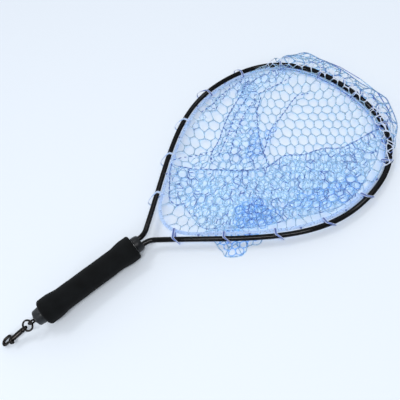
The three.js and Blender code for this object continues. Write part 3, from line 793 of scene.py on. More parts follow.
def add_snap_ring():
    ring = wire_ring(RING_MEAN, RING_WIRE + RING_BOLD, np.array([0.0, 1.0, 0.0]), UP, -RING_MEAN)
    side = BOSS / 2
    boss = turned(filleted([
        (0, -BOSS_BACK, 0), (side, -BOSS_BACK, BOSS_FILLET), (side, -BOSS_FRONT, BOSS_FILLET),
        (0, -BOSS_FRONT, 0)]), sides=40)
    hole = rod(STUD / 2 + GAP, CUT_PAST - BOSS_BACK, -BOSS_FRONT - CUT_PAST, sides=24)
    add_metal("snap_ring_smooth", "snap_ring", "swivel_ring", RING_FRAME, ring, [boss], [hole])


def hook_path():
    turn = np.linspace(-np.pi / 2, np.pi / 2, HOOK_STEPS)
    bend = np.column_stack([HOOK_CENTRE + HOOK_RADIUS * np.cos(turn), HOOK_RADIUS * (1 + np.sin(turn))])
    tip = np.linspace((HOOK_TIP_AT, 0), (HOOK_CENTRE, 0), HOOK_TIP_STEPS)[:-1]
    side = 2 * HOOK_RADIUS
    root = cubic([(BARREL_END + ARM_SHOULDER, side), (BARREL_END, side),
                  (BARREL_END, BARREL / 4), (BARREL_END - ARM_ROOT, BARREL / 4)], ARM_ROOT_STEPS)
    arm = np.linspace(bend[-1], root[0], ARM_STEPS)[1:-1]
    return flat_path(np.vstack([tip, bend, arm, root]) * (-1, 1))


def knob_slot():
    """Skin of the slot that the knob's stem slides in, from the barrel's middle out."""
    turn = np.linspace(np.pi / 2, 3 * np.pi / 2, SLOT_STEPS)
    lobe = (STEM / 2 + GAP) * np.column_stack([np.cos(turn), np.sin(turn)])
    outline = np.vstack([(BOLT_TRAVEL - STEM_AT, 0) - lobe, (-STEM_AT, 0) + lobe])
    low = np.column_stack([outline[:, 0], np.full(len(outline), -BARREL), outline[:, 1]])
    return ring_skin(np.stack([low, low * (1, 0, 1)]))


def add_snap_body():
    head_back = BOSS_BACK - GAP
    head_top = head_back - STUD_HEAD_HEIGHT
    barrel = BARREL / 2
    body = turned(filleted([
        (0, -head_top, 0), (STUD_HEAD / 2, -head_top, HEAD_FILLET), (STUD_HEAD / 2, -head_back, EDGE_FILLET),
        (STUD / 2, -head_back, 0), (STUD / 2, -BARREL_START, FINE_FILLET),
        (barrel, -BARREL_START, ROUND_FILLET), (barrel, -BARREL_END, SOFT_FILLET), (0, -BARREL_END, 0)]),
        sides=48)
    hook = sweep(hook_path(), UP, HOOK_WIRE / 2, HOOK_WIRE / 2, sides=20)
    hole = rod(BOLT / 2 + GAP, -BORE_START, -BARREL_END - CUT_PAST, sides=32)
    add_metal("snap_body_smooth", "snap_body", "hook_body", HOOK_FRAME, body, [hook], [hole, knob_slot()])


def add_snap_bolt():
    end = HOOK_TIP_AT - GAP
    side = BOLT / 2
    pin = turned(filleted([
        (0, -BOLT_START, 0), (side, -BOLT_START, FINE_FILLET), (side, -end, EDGE_FILLET), (0, -end, 0)]),
        sides=32)
    base = BARREL / 2 + 2 * GAP
    top = base + KNOB_HEIGHT
    points, faces = turned(filleted([
        (0, -top, 0), (KNOB / 2, -top, ROUND_FILLET), (KNOB / 2, -base, EDGE_FILLET), (STEM / 2, -base, 0),
        (STEM / 2, -STEM_ROOT, 0), (0, -STEM_ROOT, 0)]), sides=32)
    knob = np.column_stack([-STEM_AT - points[:, 1], points[:, 0], points[:, 2]]), faces
    add_metal("snap_bolt_smooth", "snap_bolt", "gate_bolt", HOOK_FRAME, pin, [knob])


def add_snap_spring():
    """Coil between the bore's end and the bolt."""
    wire = SPRING_WIRE / 2
    back = BORE_START + GAP
    long = BOLT_START - GAP - back
    share = np.linspace(0, 1, SPRING_TURNS * COIL_STEPS + 1)
    turn = 2 * np.pi * SPRING_TURNS * share
    radius = BOLT / 2 - wire
    x = -(back + wire + (long - SPRING_WIRE) * share)
    path = np.column_stack([x, radius * np.cos(turn), radius * np.sin(turn)])
    coil = sweep(path, np.array([1.0, 0.0, 0.0]), wire, wire, sides=8)
    piece = add_piece("snap_spring_coil", "snap_spring", coil, HOOK_FRAME, STEEL_LOOK,
                      "hook_body", sharp=60)
    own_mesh(piece)


# Lines of the net
def rim_line():
    """Closed line of the rim with its stations; the stretch across the neck has none."""
    station = np.linspace(RIM_NECK_START, 2 * HALF_LENGTH - RIM_NECK_START, RIM_SAMPLES)
    point, inward = hoop_at(station)
    line = point + RIM_INSET * inward
    start, end = line[-1], line[0]
    along = RIM_NECK_HANDLE * np.array([inward[0][1], -inward[0][0]])
    neck = cubic([start, start - along * (1, -1), end - along, end], RIM_NECK_SAMPLES)[1:-1]
    return np.vstack([line, neck]), np.concatenate([station, np.full(len(neck), np.nan)])


RIM, RIM_STATION = rim_line()


def seen(points, height):
    """Plan places of points seen against the hoop's plane that really lie at a height above the floor."""
    points = np.array(points, float)
    drop = plane_height(points[:, :1]) - height
    return points + (points - EYE[:2]) * drop / EYE[2]


# Fold lines of the bag, as seen against the hoop's plane
TIP_EDGE = [(369, -154), (401, -132), (441, -110), (469, -71), (476, -53), (472, -4), (474, 36), (466, 85),
            (460, 115), (442, 125), (427, 136), (393, 134)]
MAIN_FOLD = [(124, 64), (162, 28), (194, -4), (215, -20), (236, -29), (267, -31), (290, -49), (322, -62),
             (344, -80), (385, -90), (413, -100)]
LOWER_SIDE = [(401, -111), (380, -122), (357, -135), (327, -144), (304, -151), (282, -154), (256, -152),
              (226, -139), (198, -123), (165, -110), (130, -88), (104, -66)]
NECK_EDGE = [(84, -49), (85, -12), (87, 8), (77, 12), (76, 26), (96, 54), (115, 76)]
WEDGE_LEFT = [(170, 38), (182, 54), (208, 67), (253, 97), (297, 117), (331, 133)]
WEDGE_RIGHT = [(322, 88), (298, 71), (279, 48), (260, 22), (245, -4), (236, -26)]
WEDGE_FOOT = [(205, -12), (184, 4)]
UPPER_BAND = [(290, 114), (323, 112), (360, 101), (398, 94), (424, 90), (398, 119), (361, 140), (330, 148),
              (300, 134)]
WEDGE_FOLD = [(247, 35), (270, 60), (296, 74), (276, 40), (258, 12), (243, -8), (219, 2), (226, 20)]
DEEP_FOLD = [(123, -78), (133, -60), (153, -49), (176, -57), (186, -80), (184, -104), (160, -110),
             (140, -94)]
LONG_FOLD = [(205, -96), (236, -94), (258, -104), (288, -115), (313, -124), (338, -128), (318, -142),
             (294, -152), (260, -148), (232, -128)]
SIDE_FLAP = [(76, -50), (85, -71), (83, -85), (84, -95), (82, -102), (88, -108), (100, -116), (109, -116),
             (115, -111), (123, -113), (132, -120), (142, -112), (128, -88), (98, -60)]
TIP_FOLD = [(392, -136), (410, -126), (428, -108), (442, -84), (450, -62), (434, -58), (422, -82),
            (406, -102), (388, -118)]
LEFT_LAYER = [(125, 80), (157, 68), (184, 57), (171, 42), (159, 32), (141, 48), (126, 69)]
POCKET_FOLD = [(282, 28), (292, 27), (310, 30), (328, 36), (308, 22), (288, 16), (270, 9), (255, 4),
               (267, 18)]
RIM_FOLD = [(322, 153), (297, 149), (269, 145), (241, 139), (215, 129), (189, 116), (169, 104), (190, 106),
            (214, 117), (240, 124), (270, 131), (304, 135), (329, 135)]
RIGHT_LINE = [(321, 100), (346, 95), (367, 91), (390, 85)]
NARROW_LINE = [(249, -1), (264, 8), (280, 20), (299, 27), (318, 33), (342, 40), (358, 45), (373, 48),
               (388, 39)]
SIDE_LINE = [(224, 132), (250, 134), (279, 140), (311, 142)]
WEDGE_LINE = [(190, 44), (222, 62), (262, 88), (310, 108)]
WEDGE_LINE_2 = [(206, 34), (238, 58), (272, 78), (312, 94)]
UPPER_LINE = [(318, 128), (346, 126), (374, 116), (402, 104)]
HEAP = MAIN_FOLD + LOWER_SIDE + NECK_EDGE
WEDGE = WEDGE_LEFT + WEDGE_RIGHT + WEDGE_FOOT

# The fold over the hoop's tip: its edge, and where along the hoop the net passes over the tube
TIP_LINE = through(seen(TIP_EDGE, FLOOR_LAYER), endless=False, step=TIP_STEP)
TIP_NEAR, TIP_REACH = nearest(TIP_LINE, HOOP_LINE)
TIP_STATION = HOOP_STATION[TIP_NEAR]
TIP_START = TIP_STATION[0] - CROSSING
TIP_END = TIP_STATION[-1] + CROSSING


def tip_share(station):
    """0 on the sides, 1 where the net passes over the tube at the hoop's tip."""
    station = np.nan_to_num(station, nan=0.0)
    begun = smooth(TIP_START - LIFT_BLEND, TIP_START, station)
    return begun * (1 - smooth(TIP_END, TIP_END + LIFT_BLEND, station))


def over_tube(spots):
    """1 for places above the tube where the net is folded over the hoop's tip, 0 elsewhere."""
    station, depth = from_hoop(spots)
    return (1 - smooth(*TUBE_BAND, np.abs(depth))) * tip_share(station)


def inside_hoop(spots):
    return from_hoop(spots)[1] > 0


# Heights of the layers above the floor
def bag_height(spots):
    """Main layer: from the rim down to the floor on the sides, over the tube at the tip."""
    plane = plane_height(spots[:, 0])
    order, inside = nearest(spots, RIM)
    share = tip_share(RIM_STATION[order])
    side = MAIN_LAYER + (plane - MAIN_LAYER) * (1 - smooth(0, WALL_RUN, inside))
    station, depth = from_hoop(spots)
    top = plane + OVER_TUBE
    reach = np.maximum(np.interp(station, TIP_STATION, TIP_REACH), CREST + LEAST_FALL)
    inner = MAIN_LAYER + (top - MAIN_LAYER) * (1 - smooth(CREST, CREST + WALL_RUN, depth))
    outer = FLOOR_LAYER + (top - FLOOR_LAYER) * (1 - smooth(CREST, reach, -depth))
    return side * (1 - share) + np.where(depth > 0, inner, outer) * share


def under_height(spots):
    """Under layer of the tip's fold: flat below the tube, then up to the rim."""
    rise = plane_height(spots[:, 0]) - UNDER_RIM - FLOOR_LAYER
    return FLOOR_LAYER + rise * smooth(*UNDER_RUN, from_hoop(spots)[1])


def fold_height(spots, rise, swell=0.0, seed=1):
    """Folded layer that lies on the main layer."""
    _, inside = nearest(spots, RIM)
    ripple = swell * waves(spots[:, 0], spots[:, 1], SWELL_LENGTH, seed)
    return bag_height(spots) + LAYER_CLEAR + (rise + ripple) * smooth(0, RIM_BLEND, inside)


def flat_height(spots):
    return np.full(len(spots), FLOOR_LAYER)


def over_floor(spots, level):
    """World millimetres of plan places at heights above the floor."""
    x = ORIGIN.x / MM + spots[:, 0] * math.cos(TILT)
    return np.column_stack([x, ORIGIN.y / MM + spots[:, 1], level])


# Honeycomb patches
def lattice(outline, pitch, stretch, turn):
    """Honeycomb cells inside an outline: corner places, and each cell's six corners in turn."""
    side = pitch / math.sqrt(3)
    axes = np.array([[math.cos(turn), math.sin(turn)], [-math.sin(turn), math.cos(turn)]])
    middle = outline.mean(0)
    long, wide = np.abs((outline - middle) @ axes.T / (stretch, 1)).max(0)
    columns = int(long / (1.5 * side)) + 2
    rows = int(wide / pitch) + 2
    centres = np.array([(i * 1.5 * side, (j + (i % 2) / 2) * pitch)
                        for i in range(-columns, columns + 1) for j in range(-rows, rows + 1)])
    plan = centres * (stretch, 1) @ axes + middle
    _, away = nearest(plan, outline)
    corners = []
    known = {}
    cells = []
    for x, y in centres[contains(outline, plan) & (away > CELL_KEEP * pitch)]:
        cell = []
        for k in range(6):
            spot = x + side * math.cos(k * math.pi / 3), y + side * math.sin(k * math.pi / 3)
            key = round(2 * spot[0] / side), round(2 * spot[1] / pitch)
            if key not in known:
                known[key] = len(corners)
                corners.append(spot)
            cell.append(known[key])
        cells.append(cell)
    return np.array(corners) * (stretch, 1) @ axes + middle, cells


def free_loops(cells):
    """Loops of corners round the free edges, the net on their left."""
    edges = {edge for cell in cells for edge in pairs(cell)}
    after = {a: b for a, b in edges if (b, a) not in edges}
    loops = []
    while after:
        start = min(after)
        loop = [start]
        spot = after.pop(start)
        while spot != start:
            loop.append(spot)
            spot = after.pop(spot)
        loops.append(loop)
    return loops


def loop_area(points):
    x, y = points.T
    return (x * np.roll(y, -1) - y * np.roll(x, -1)).sum() / 2


def even_places(points, outline):
    """Places along a closed outline for a loop of corners, evened out so that no two fall together."""
    total = len(outline)
    places = []
    for found in nearest(points, outline)[0]:
        before = places[-1] if places else found
        places.append(found + total * round((before - found) / total))
    places = np.array(places, float)
    for _ in range(EVEN_PASSES):
        before = np.concatenate([[places[-1] - total], places[:-1]])
        after = np.concatenate([places[1:], [places[0] + total]])
        places = (before + 2 * places + after) / 4
    return places


def on_outline(outline, places):
    low = np.floor(places).astype(int)
    share = (places - low)[:, None]
    return outline[low % len(outline)] * (1 - share) + outline[(low + 1) % len(outline)] * share


def relax(corners, cells, held):
    """Evens the corners between the held ones."""
    linked = [set() for _ in corners]
    for cell in cells:
        for a, b in pairs(cell):
            linked[a].add(b)
            linked[b].add(a)
    free = [i for i in range(len(corners)) if i not in held]
    for _ in range(RELAX_PASSES):
        moved = corners.copy()
        for i in free:
            moved[i] = (corners[i] + corners[list(linked[i])].mean(0)) / 2
        corners = moved
    return corners


def scatter(corners, pitch, lengths, seed):
    x, y = corners.T
    across, along = lengths
    return np.column_stack([waves(x, y, across * pitch, seed), waves(y, x, along * pitch, seed + 5)])


def everywhere(spots):
    return np.ones(len(spots), bool)


def nowhere(spots):
    return np.zeros(len(spots), bool)


def unmoved(spots):
    return spots


def place_corners(outline, mesh, seed, sway, edge, warp):
    """Corners and cells of a patch, and the outline's stretch for each strand that bends along it."""
    pitch, stretch, turn, wobble = mesh
    corners, cells = lattice(outline, pitch, stretch, math.radians(turn))
    _, away = nearest(corners, outline)
    calm = smooth(0, pitch, away)[:, None]
    jitter = scatter(corners, pitch, JITTER, seed)
    corners = corners + sway * calm * scatter(corners, pitch, DRIFT, seed + 2)
    held = set()
    bends = {}
    for loop in free_loops(cells):
        if loop_area(corners[loop]) < 0:
            continue
        held.update(loop)
        if edge is None:
            continue
        places = even_places(corners[loop], outline)
        corners[loop] = on_outline(outline, places)
        ahead = np.roll(places, -1)
        ahead[-1] += len(outline)
        curved = edge(corners[loop])
        rows = zip(pairs(loop), zip(places, ahead), curved & np.roll(curved, -1))
        bends.update((strand, part) for strand, part, both in rows if both)
    corners = relax(corners, cells, held)
    return corners + calm * (warp(corners) - corners + wobble * jitter), cells, bends


def strand_skin(outline, corners, cells, bends, width, dark, seed):
    """Rounded strands round rounded holes: plan places, lifts, faces, and which faces are dark."""
    spots = []
    lifts = []
    faces = []
    marks = []
    known = {}
    shaded = {}
    draw = np.random.default_rng(seed)

    def put(spot, lift):
        spots.append(spot)
        lifts.append(lift)
        return len(spots) - 1

    def top_spot(a, b, step):
        """Number of a strand's top point; its bottom point is the next number."""
        key = (a,) if step == 0 else (a, b, step) if a < b else (b, a, EDGE_STEPS - step)
        if key not in known:
            share = step / EDGE_STEPS
            spot = corners[a] * (1 - share) + corners[b] * share
            if step and (a, b) in bends:
                start, end = bends[a, b]
                spot = on_outline(outline, np.array([start + (end - start) * share]))[0]
            known[key] = put(spot, STRAND_HALF)
            put(spot, -STRAND_HALF)
        return known[key]

    def is_dark(a, b, step):
        """True along most of a few strands, which stand on edge."""
        key = min(a, b), max(a, b)
        if key not in shaded:
            shaded[key] = draw.random() < dark
        return shaded[key] and step < EDGE_STEPS - 1

    def steps_round(ring):
        return [(a, b, step) for a, b in pairs(ring) for step in range(EDGE_STEPS)]

    for cell in cells:
        steps = steps_round(cell)
        outer = [top_spot(*step) for step in steps]
        middle = corners[cell].mean(0)
        walls = []
        for number, (a, b, step) in zip(outer, steps):
            inward = middle - spots[number]
            share = step / EDGE_STEPS
            inset = STRAND / 2 * (width[a] * (1 - share) + width[b] * share)
            inset += EDGE_FILL if step else CORNER_FILL
            walls.append((spots[number], inward * min(inset / np.linalg.norm(inward), HOLE_LIMIT)))
        rows = [outer]
        for share, lift in STRAND_SECTION:
            rows.append([put(spot + share * shift, lift * STRAND_HALF) for spot, shift in walls])
        rows.append([number + 1 for number in outer])
        for high, low in zip(rows[:-1], rows[1:]):
            faces += strip(high, low)
        marks += (len(rows) - 1) * [is_dark(*step) for step in steps]
    for loop in free_loops(cells):
        steps = steps_round(loop)
        high = [top_spot(*step) for step in steps]
        line = np.array([spots[number] for number in high])
        along = unit(np.roll(line, -1, 0) - np.roll(line, 1, 0))
        outward = np.column_stack([along[:, 1], -along[:, 0]])
        wall = [put(spot, 0.0) for spot in line + outward * STRAND / 2]
        faces += strip(wall, high) + strip([number + 1 for number in high], wall)
        marks += 2 * [is_dark(*step) for step in steps]
    return np.array(spots), np.array(lifts), faces, marks


def add_patch(name, outline, height, look, mesh, seed, sway=0.0, bold=1.0, edge=None, warp=unmoved,
              place=unmoved, dark=0.0, tall=1.0):
    """Honeycomb patch. Its mesh is the cells' pitch, stretch, turn in degrees and unevenness.

    An edge draws the border to the outline, and says where it also curves with it.
    """
    if loop_area(outline) < 0:
        outline = outline[::-1]
    corners, cells, bends = place_corners(outline, mesh, seed, sway, edge, warp)
    width = np.broadcast_to(bold(corners) if callable(bold) else bold, len(corners))
    spots, lifts, faces, marks = strand_skin(outline, corners, cells, bends, width, dark, seed)
    spots = place(spots)
    level = np.maximum(height(spots), tall * STRAND_HALF + FLOOR_CLEAR)
    skin = over_floor(spots, level + tall * lifts), faces
    piece = dress(new_object(name, skin, WORLD), look)
    if dark:
        second_look(piece, CREASE_LOOK, marks)
    return piece


# Bag
CREASES = [through(line, endless=False) for line in (NARROW_LINE, WEDGE_LEFT, RIGHT_LINE, SIDE_LINE)]


def squeezed(spots):
    """Draws the cells together on both sides of the creases of the single layer."""
    for crease in CREASES:
        line = seen(crease, MAIN_LAYER)
        order, away = nearest(spots, line)
        share = smooth(0, SQUEEZE_BLEND, np.minimum(order, len(line) - 1 - order))
        pull = 1 - share * (1 - np.clip(away / SQUEEZE, 0, 1) ** SQUEEZE_POWER)
        spots = line[order] + (spots - line[order]) * pull[:, None]
    return spots


def main_width(spots):
    """Strands of the main layer: thinner at the neck, wider where they lie over the tube."""
    return MAIN_SLIM - NECK_SLIM * (1 - smooth(*NECK_REACH, spots[:, 0])) + TUBE_SWELL * over_tube(spots)


def bag_outline():
    """Edge of the main layer: the rim, and the outer fold where it passes over the tube at the tip."""
    before = RIM[RIM_STATION < TIP_START]
    after = RIM[~(RIM_STATION <= TIP_END)]
    return evenly(np.vstack([before, TIP_LINE, after, before[:1]]), LINE_STEP)[:-1]


def under_outline():
    """Edge of the under layer of the tip's fold, as pairs along and outside the hoop."""
    station = np.linspace(TIP_STATION[0] + CROSSING, TIP_STATION[-1] - CROSSING, UNDER_SAMPLES)
    inner = np.column_stack([station, np.full(UNDER_SAMPLES, -RIM_INSET)])
    outer = np.column_stack([station, np.interp(station, TIP_STATION, TIP_REACH)])[::-1]
    return evenly(np.vstack([inner, outer, inner[:1]]), LINE_STEP)[:-1]


def along_hoop(spots):
    """Plan places of (distance along the hoop, distance outside it) pairs."""
    point, inward = hoop_at(spots[:, 0])
    return point - inward * spots[:, 1:]


def add_main_layer():
    main = add_patch("net_main_layer", bag_outline(), bag_height, NET_LOOK, (14.0, 1.4, 46.5, 1.3), 2,
                     MAIN_SWAY, main_width, inside_hoop, squeezed, tall=MAIN_TALL)
    middle = np.empty(3 * len(main.data.polygons))
    main.data.polygons.foreach_get("center", middle)
    x, y = middle.reshape(-1, 3).T[:2] / MM
    plan = np.column_stack([(x - ORIGIN.x / MM) / math.cos(TILT), y - ORIGIN.y / MM])
    # Faces over the tube take the paler rubber: painted highlight where the strands cross the black tube.
    second_look(main, PALE_HIGHLIGHT_LOOK, over_tube(plan) > 0.5)
    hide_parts("net_bag")


# Folded layers: name, outline, look, level in the heap, mesh, seed and edge
FOLDS = (
    ("net_fold_1", HEAP, FOLD_LOOK, 0, (14.0, 1.1, 12, 1.7), 4, everywhere),
    ("net_fold_2", HEAP, FOLD_LOOK, 1, (15.0, 1.25, 41, 1.8), 5, everywhere),
    ("net_fold_3", HEAP, FOLD_LOOK, 2, (15.0, 1.0, -17, 1.8), 16, None),
    ("net_wedge_1", WEDGE, FOLD_LOOK, 0, (14.0, 1.2, 22, 1.6), 6, everywhere),
    ("net_wedge_2", WEDGE, FOLD_LOOK, 1, (17.0, 1.3, -34, 1.6), 7, None),
    ("net_wedge_3", WEDGE_FOLD, DEEP_LOOK, 2, (12.0, 1.1, 10, 1.4), 12, None),
    ("net_upper_band_1", UPPER_BAND, FOLD_LOOK, 0, (13.0, 1.2, 8, 1.4), 8, None),
    ("net_upper_band_2", UPPER_BAND, FOLD_LOOK, 1, (14.0, 1.1, 50, 1.4), 17, None),
    ("net_deep_fold_1", DEEP_FOLD, DEEP_LOOK, 3, (12.0, 1.1, 27, 1.6), 9, None),
    ("net_deep_fold_2", DEEP_FOLD, DEEP_LOOK, 4, (13.0, 1.2, -12, 1.6), 14, None),
    ("net_long_fold", LONG_FOLD, DEEP_LOOK, 3, (13.0, 1.2, -20, 1.6), 10, None),
    ("net_left_layer", LEFT_LAYER, FOLD_LOOK, 0, (13.0, 1.2, 30, 1.5), 18, None),
    ("net_pocket_fold", POCKET_FOLD, DEEP_LOOK, 0, (9.0, 1.2, 20, 1.0), 20, None),
    ("net_rim_fold", RIM_FOLD, FOLD_LOOK, 0, (10.0, 1.3, 20, 1.2), 19, None),
)


def add_bag():
    add_main_layer()
    under = under_outline()
    add_patch("net_tip_underlayer_1", under, under_height, NET_LOOK, (14.0, 1.5, 0, 1.6), 3, edge=nowhere,
              place=along_hoop, dark=UNDER_DARK[0])
    add_patch("net_tip_underlayer_2", under, lambda spots: under_height(spots) + UNDER_LIFT, NET_LOOK,
              (20.0, 1.7, 14, 2.4), 13, place=along_hoop, dark=UNDER_DARK[1])
    for name, places, look, level, mesh, seed, edge in FOLDS:
        rise = LAYER_RISE[level]
        add_patch(name, through(seen(places, rise + MAIN_LAYER)),
                  lambda spots: fold_height(spots, rise, FOLD_SWELL, seed), look, mesh, seed, FOLD_SWAY,
                  bold=FOLD_SLIM, edge=edge, dark=DARK_SHARE)
    side = through(seen(SIDE_FLAP, FLOOR_LAYER))
    add_patch("net_side_flap_1", side, flat_height, NET_LOOK, (15.0, 1.2, 30, 1.2), 11, edge=nowhere)
    add_patch("net_side_flap_2", side, lambda spots: flat_height(spots) + FLAP_LIFT, DEEP_LOOK,
              (11.0, 1.1, -5, 1.4), 15)
    # The fold at the tip takes the paler rubber, whose whiter colour is painted highlight over the tube.
    tip = through(seen(TIP_FOLD, TIP_FOLD_HEIGHT))
    add_patch("net_tip_fold", tip, lambda spots: bag_height(spots) + TIP_FOLD_RISE, PALE_HIGHLIGHT_LOOK,
              (10.0, 1.6, 48, 1.2), 21, bold=FOLD_SLIM, dark=TIP_DARK)
    add_creases()


# Lines of strands that show edge-on along the folds, and how high above the main layer they lie
MARK_LINES = (
    (MAIN_FOLD, 3.2), (WEDGE_LEFT, 3.2), (WEDGE_RIGHT, 3.2), (NECK_EDGE[2:], 3.2), (WEDGE_LINE, 3.2),
    (WEDGE_LINE_2, 3.2), (UPPER_LINE, 2.0), (NARROW_LINE, 0.4), (RIGHT_LINE, 0.4), (SIDE_LINE, 0.4),
    (LEFT_LAYER[:3], 1.6))


def crease_marks(places, rise):
    """Skins of the strands along one line, a little uneven in length and lean."""
    line = through(seen(places, rise + MAIN_LAYER), endless=False, step=MARK_STEP)
    share = np.linspace(-0.5, 0.5, MARK_STEPS)[:, None]
    size = MARK_HALF * np.cos(np.pi * share[:, 0]) ** MARK_TAPER + MARK_TIP
    marks = []
    for number, (spot, way) in enumerate(zip(line, unit(np.gradient(line, axis=0)))):
        aside = np.array([-way[1], way[0]])
        lean = way + MARK_LEAN * math.sin(1.9 * number) * aside
        spots = spot + share * MARK_LONG * (1 + MARK_UNEVEN * math.sin(2.7 * number)) * lean
        path = over_floor(spots, fold_height(spots, rise) + MARK_LIFT)
        marks.append(sweep(path, np.array([*aside, 0.0]), size, MARK_FLAT * size, sides=8))
    return marks


def add_creases():
    marks = [mark for places, rise in MARK_LINES for mark in crease_marks(places, rise)]
    dress(new_object("net_fold_creases", joined(*marks), WORLD), CREASE_LOOK)


# Rim and loops
def add_rim():
    line = evenly(np.vstack([RIM, RIM[:1]]), RIM_STEP)[:-1]
    wide = RIM_WIDE * (1 - RIM_SLIM * tip_share(RIM_STATION[nearest(line, RIM)[0]]))
    rim = sweep(flat_path(line), UP, RIM_THICK / 2, wide / 2, sides=14, endless=True)
    lugs = [rim_lug(LOOP_FIRST + (i + 0.5) * LOOP_PITCH) for i in range(LOOP_COUNT - 1)]
    skin = joined(rim, *lugs)
    piece = add_piece("net_rim_band", "net_rim", skin, HOOP, RIM_LOOK, sharp=50)
    second_look(piece, LOOP_LOOK, np.arange(len(skin[1])) >= len(rim[1]))


def rim_lug(station):
    """Small tapered lug that stands from the rim towards the tube."""
    point, _ = hoop_at(np.array([station]))
    root = RIM[nearest(point, RIM)[0][0]]
    outward = unit(point[0] - root)
    share = np.linspace(0, 1, LUG_STEPS)
    path = flat_path(root + outward * (RIM_WIDE / 4 + LUG_REACH * share[:, None]))
    size = LUG_HALF * (1 - share) ** LUG_TAPER + LUG_TIP
    across = np.array([outward[1], -outward[0], 0.0])
    return sweep(path, across, size, LUG_THICK - LUG_THINNING * share, sides=12)


def add_loop(number):
    """Strap round the tube and the rim; its slack lies outside the tube and trails along the hoop."""
    station = LOOP_FIRST + number * LOOP_PITCH
    point = hoop_at(np.array([station]))[0]
    lead = FIRST_LEAD if number == 0 else 0.0
    inward = RIM[nearest(point - (lead, 0), RIM)[0][0]] - point[0]
    distance = np.linalg.norm(inward)
    inward = np.array([*inward / distance, 0.0])
    along = np.cross(inward, UP)
    trail, drop, half, narrowing = UPPER_SLACK if station > HALF_LENGTH else LOWER_SLACK
    room = np.clip(plane_height(point[0, 0]) / LOOP_ROOM - 1, 0, 1)
    big = TUBE / 2 + LOOP_CLEAR + LOOP_WIRE / 2
    meet = math.acos((big - LOOP_REACH) / distance)
    turn = np.linspace(meet, 2 * np.pi - meet, LOOP_TUBE_STEPS)
    hang = smooth(*SLACK_BEGINS, turn) * (1 - smooth(*SLACK_ENDS, turn))
    radius = big + room * drop * hang
    tube_part = np.column_stack([radius * np.cos(turn), radius * np.sin(turn), room * trail * hang])
    turn = np.linspace(-meet, meet, LOOP_RIM_STEPS)[1:-1]
    rim_part = np.column_stack([distance + LOOP_REACH * np.cos(turn), LOOP_REACH * np.sin(turn), 0 * turn])
    path = np.array([*point[0], 0.0]) + np.vstack([tube_part, rim_part]) @ np.array([inward, UP, along])
    wide = half - narrowing * np.concatenate([hang, np.zeros(len(turn))])
    band = sweep(path, along, wide, LOOP_THICK, sides=10, endless=True)
    # Two thin cords along the strap's edges, which carry the painted highlight.
    edge_highlight_cords = [sweep(path + side * along * wide[:, None], along, CORD, CORD, sides=8, endless=True)
             for side in (-1, 1)]
    skin = joined(band, *edge_highlight_cords)
    node = f"net_loop_{number + 1:02d}"
    look = RIM_LOOK if station > PALE_FROM else LOOP_LOOK
    piece = add_piece(node + "_strap", node, skin, HOOP, look)
    # The cords get the paler rubber: painted highlight along the strap's edges.
    second_look(piece, PALE_HIGHLIGHT_LOOK, np.arange(len(skin[1])) >= len(band[1]))


# Hidden solids keep their shape and get a plain metal finish
def finish_hidden():
    looks = {"handle_core_tube": ALUMINIUM_LOOK, "hoop_pin_1": STEEL_LOOK, "hoop_pin_2": STEEL_LOOK,
             "eye_nut": STEEL_LOOK}
    for node, look in looks.items():
        slots = frame["nodes"][node].data.materials
        slots.clear()
        slots.append(look)


# Floor and light, in metres and watts
FLOOR_REACH = 6.0
FLOOR_COLOUR = 0.82, 0.88, 0.96
ROOM_COLOUR = 0.94, 0.97, 1.0
ROOM_BRIGHT_WAY = 0.1, 0.75, -0.65
ROOM_DIM = 0.30
ROOM_BRIGHT = 1.14
NET_MIDDLE = 0.05, 0.1, 0.0
HANDLE_END = -0.33, 0.0, 0.02
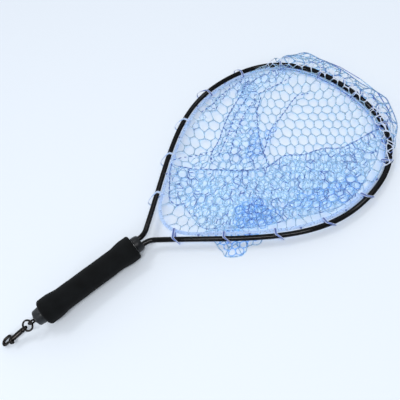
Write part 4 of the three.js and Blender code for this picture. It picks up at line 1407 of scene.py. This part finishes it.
# Soft boxes: name, place, aim, direction of the long side, length, width and power
LAMPS = (
    ("front_box", (-0.43, -1.16, 3.0), NET_MIDDLE, (0.89, -0.45, 0.0), 1.85, 0.3, 39.0),
    ("side_box", (2.0, -0.15, 3.0), NET_MIDDLE, (0.0, 1.0, 0.0), 1.3, 0.3, 6.0),
    ("far_box", (-0.6, 1.9, 3.0), NET_MIDDLE, (1.0, 0.3, 0.0), 1.2, 0.6, 19.0),
    ("handle_box", (-1.73, -0.46, 0.63), HANDLE_END, (0.0, 1.0, 0.0), 0.3, 0.3, 5.0),
)


def add_stage():
    corners = [(FLOOR_REACH * x, FLOOR_REACH * y, 0) for x, y in ((-1, -1), (1, -1), (1, 1), (-1, 1))]
    mesh = bpy.data.meshes.new("floor")
    mesh.from_pydata(corners, [], [(0, 1, 2, 3)])
    material, shader = new_material("floor_pale", FLOOR_COLOUR, 0.9)
    set_inputs(shader, {"Specular IOR Level": 0.1})
    mesh.materials.append(material)
    in_scene("floor", mesh)


def add_room():
    """World that is brighter on the far side."""
    world = bpy.data.worlds.new("studio")
    bpy.context.scene.world = world
    world.use_nodes = True
    nodes = world.node_tree.nodes
    links = world.node_tree.links
    light = nodes["Background"]
    set_inputs(light, {"Color": (*ROOM_COLOUR, 1.0)})
    way = nodes.new("ShaderNodeTexCoord")
    towards = nodes.new("ShaderNodeVectorMath")
    towards.operation = "DOT_PRODUCT"
    set_inputs(towards, {1: ROOM_BRIGHT_WAY})
    links.new(way.outputs["Generated"], towards.inputs[0])
    level = nodes.new("ShaderNodeMapRange")
    set_inputs(level, {"From Min": -1.0, "To Min": ROOM_DIM, "To Max": ROOM_BRIGHT})
    links.new(towards.outputs["Value"], level.inputs["Value"])
    links.new(level.outputs["Result"], light.inputs["Strength"])


def add_lamp(name, place, aim, along, long, wide, watts):
    data = bpy.data.lights.new(name, "AREA")
    data.shape = "RECTANGLE"
    data.size = long
    data.size_y = wide
    data.energy = watts
    back = (Vector(place) - Vector(aim)).normalized()
    up = back.cross(Vector(along)).normalized()
    turn = Matrix((up.cross(back), up, back)).transposed().to_4x4()
    in_scene(name, data).matrix_world = Matrix.Translation(place) @ turn


def main():
    add_camera()
    add_hoop()
    add_handle()
    add_eye()
    add_snap_ring()
    add_snap_body()
    add_snap_bolt()
    add_snap_spring()
    add_rim()
    for number in range(LOOP_COUNT):
        add_loop(number)
    add_bag()
    finish_hidden()
    add_stage()
    add_room()
    for lamp in LAMPS:
        add_lamp(*lamp)
    bpy.context.scene.view_settings.view_transform = "Standard"


main()
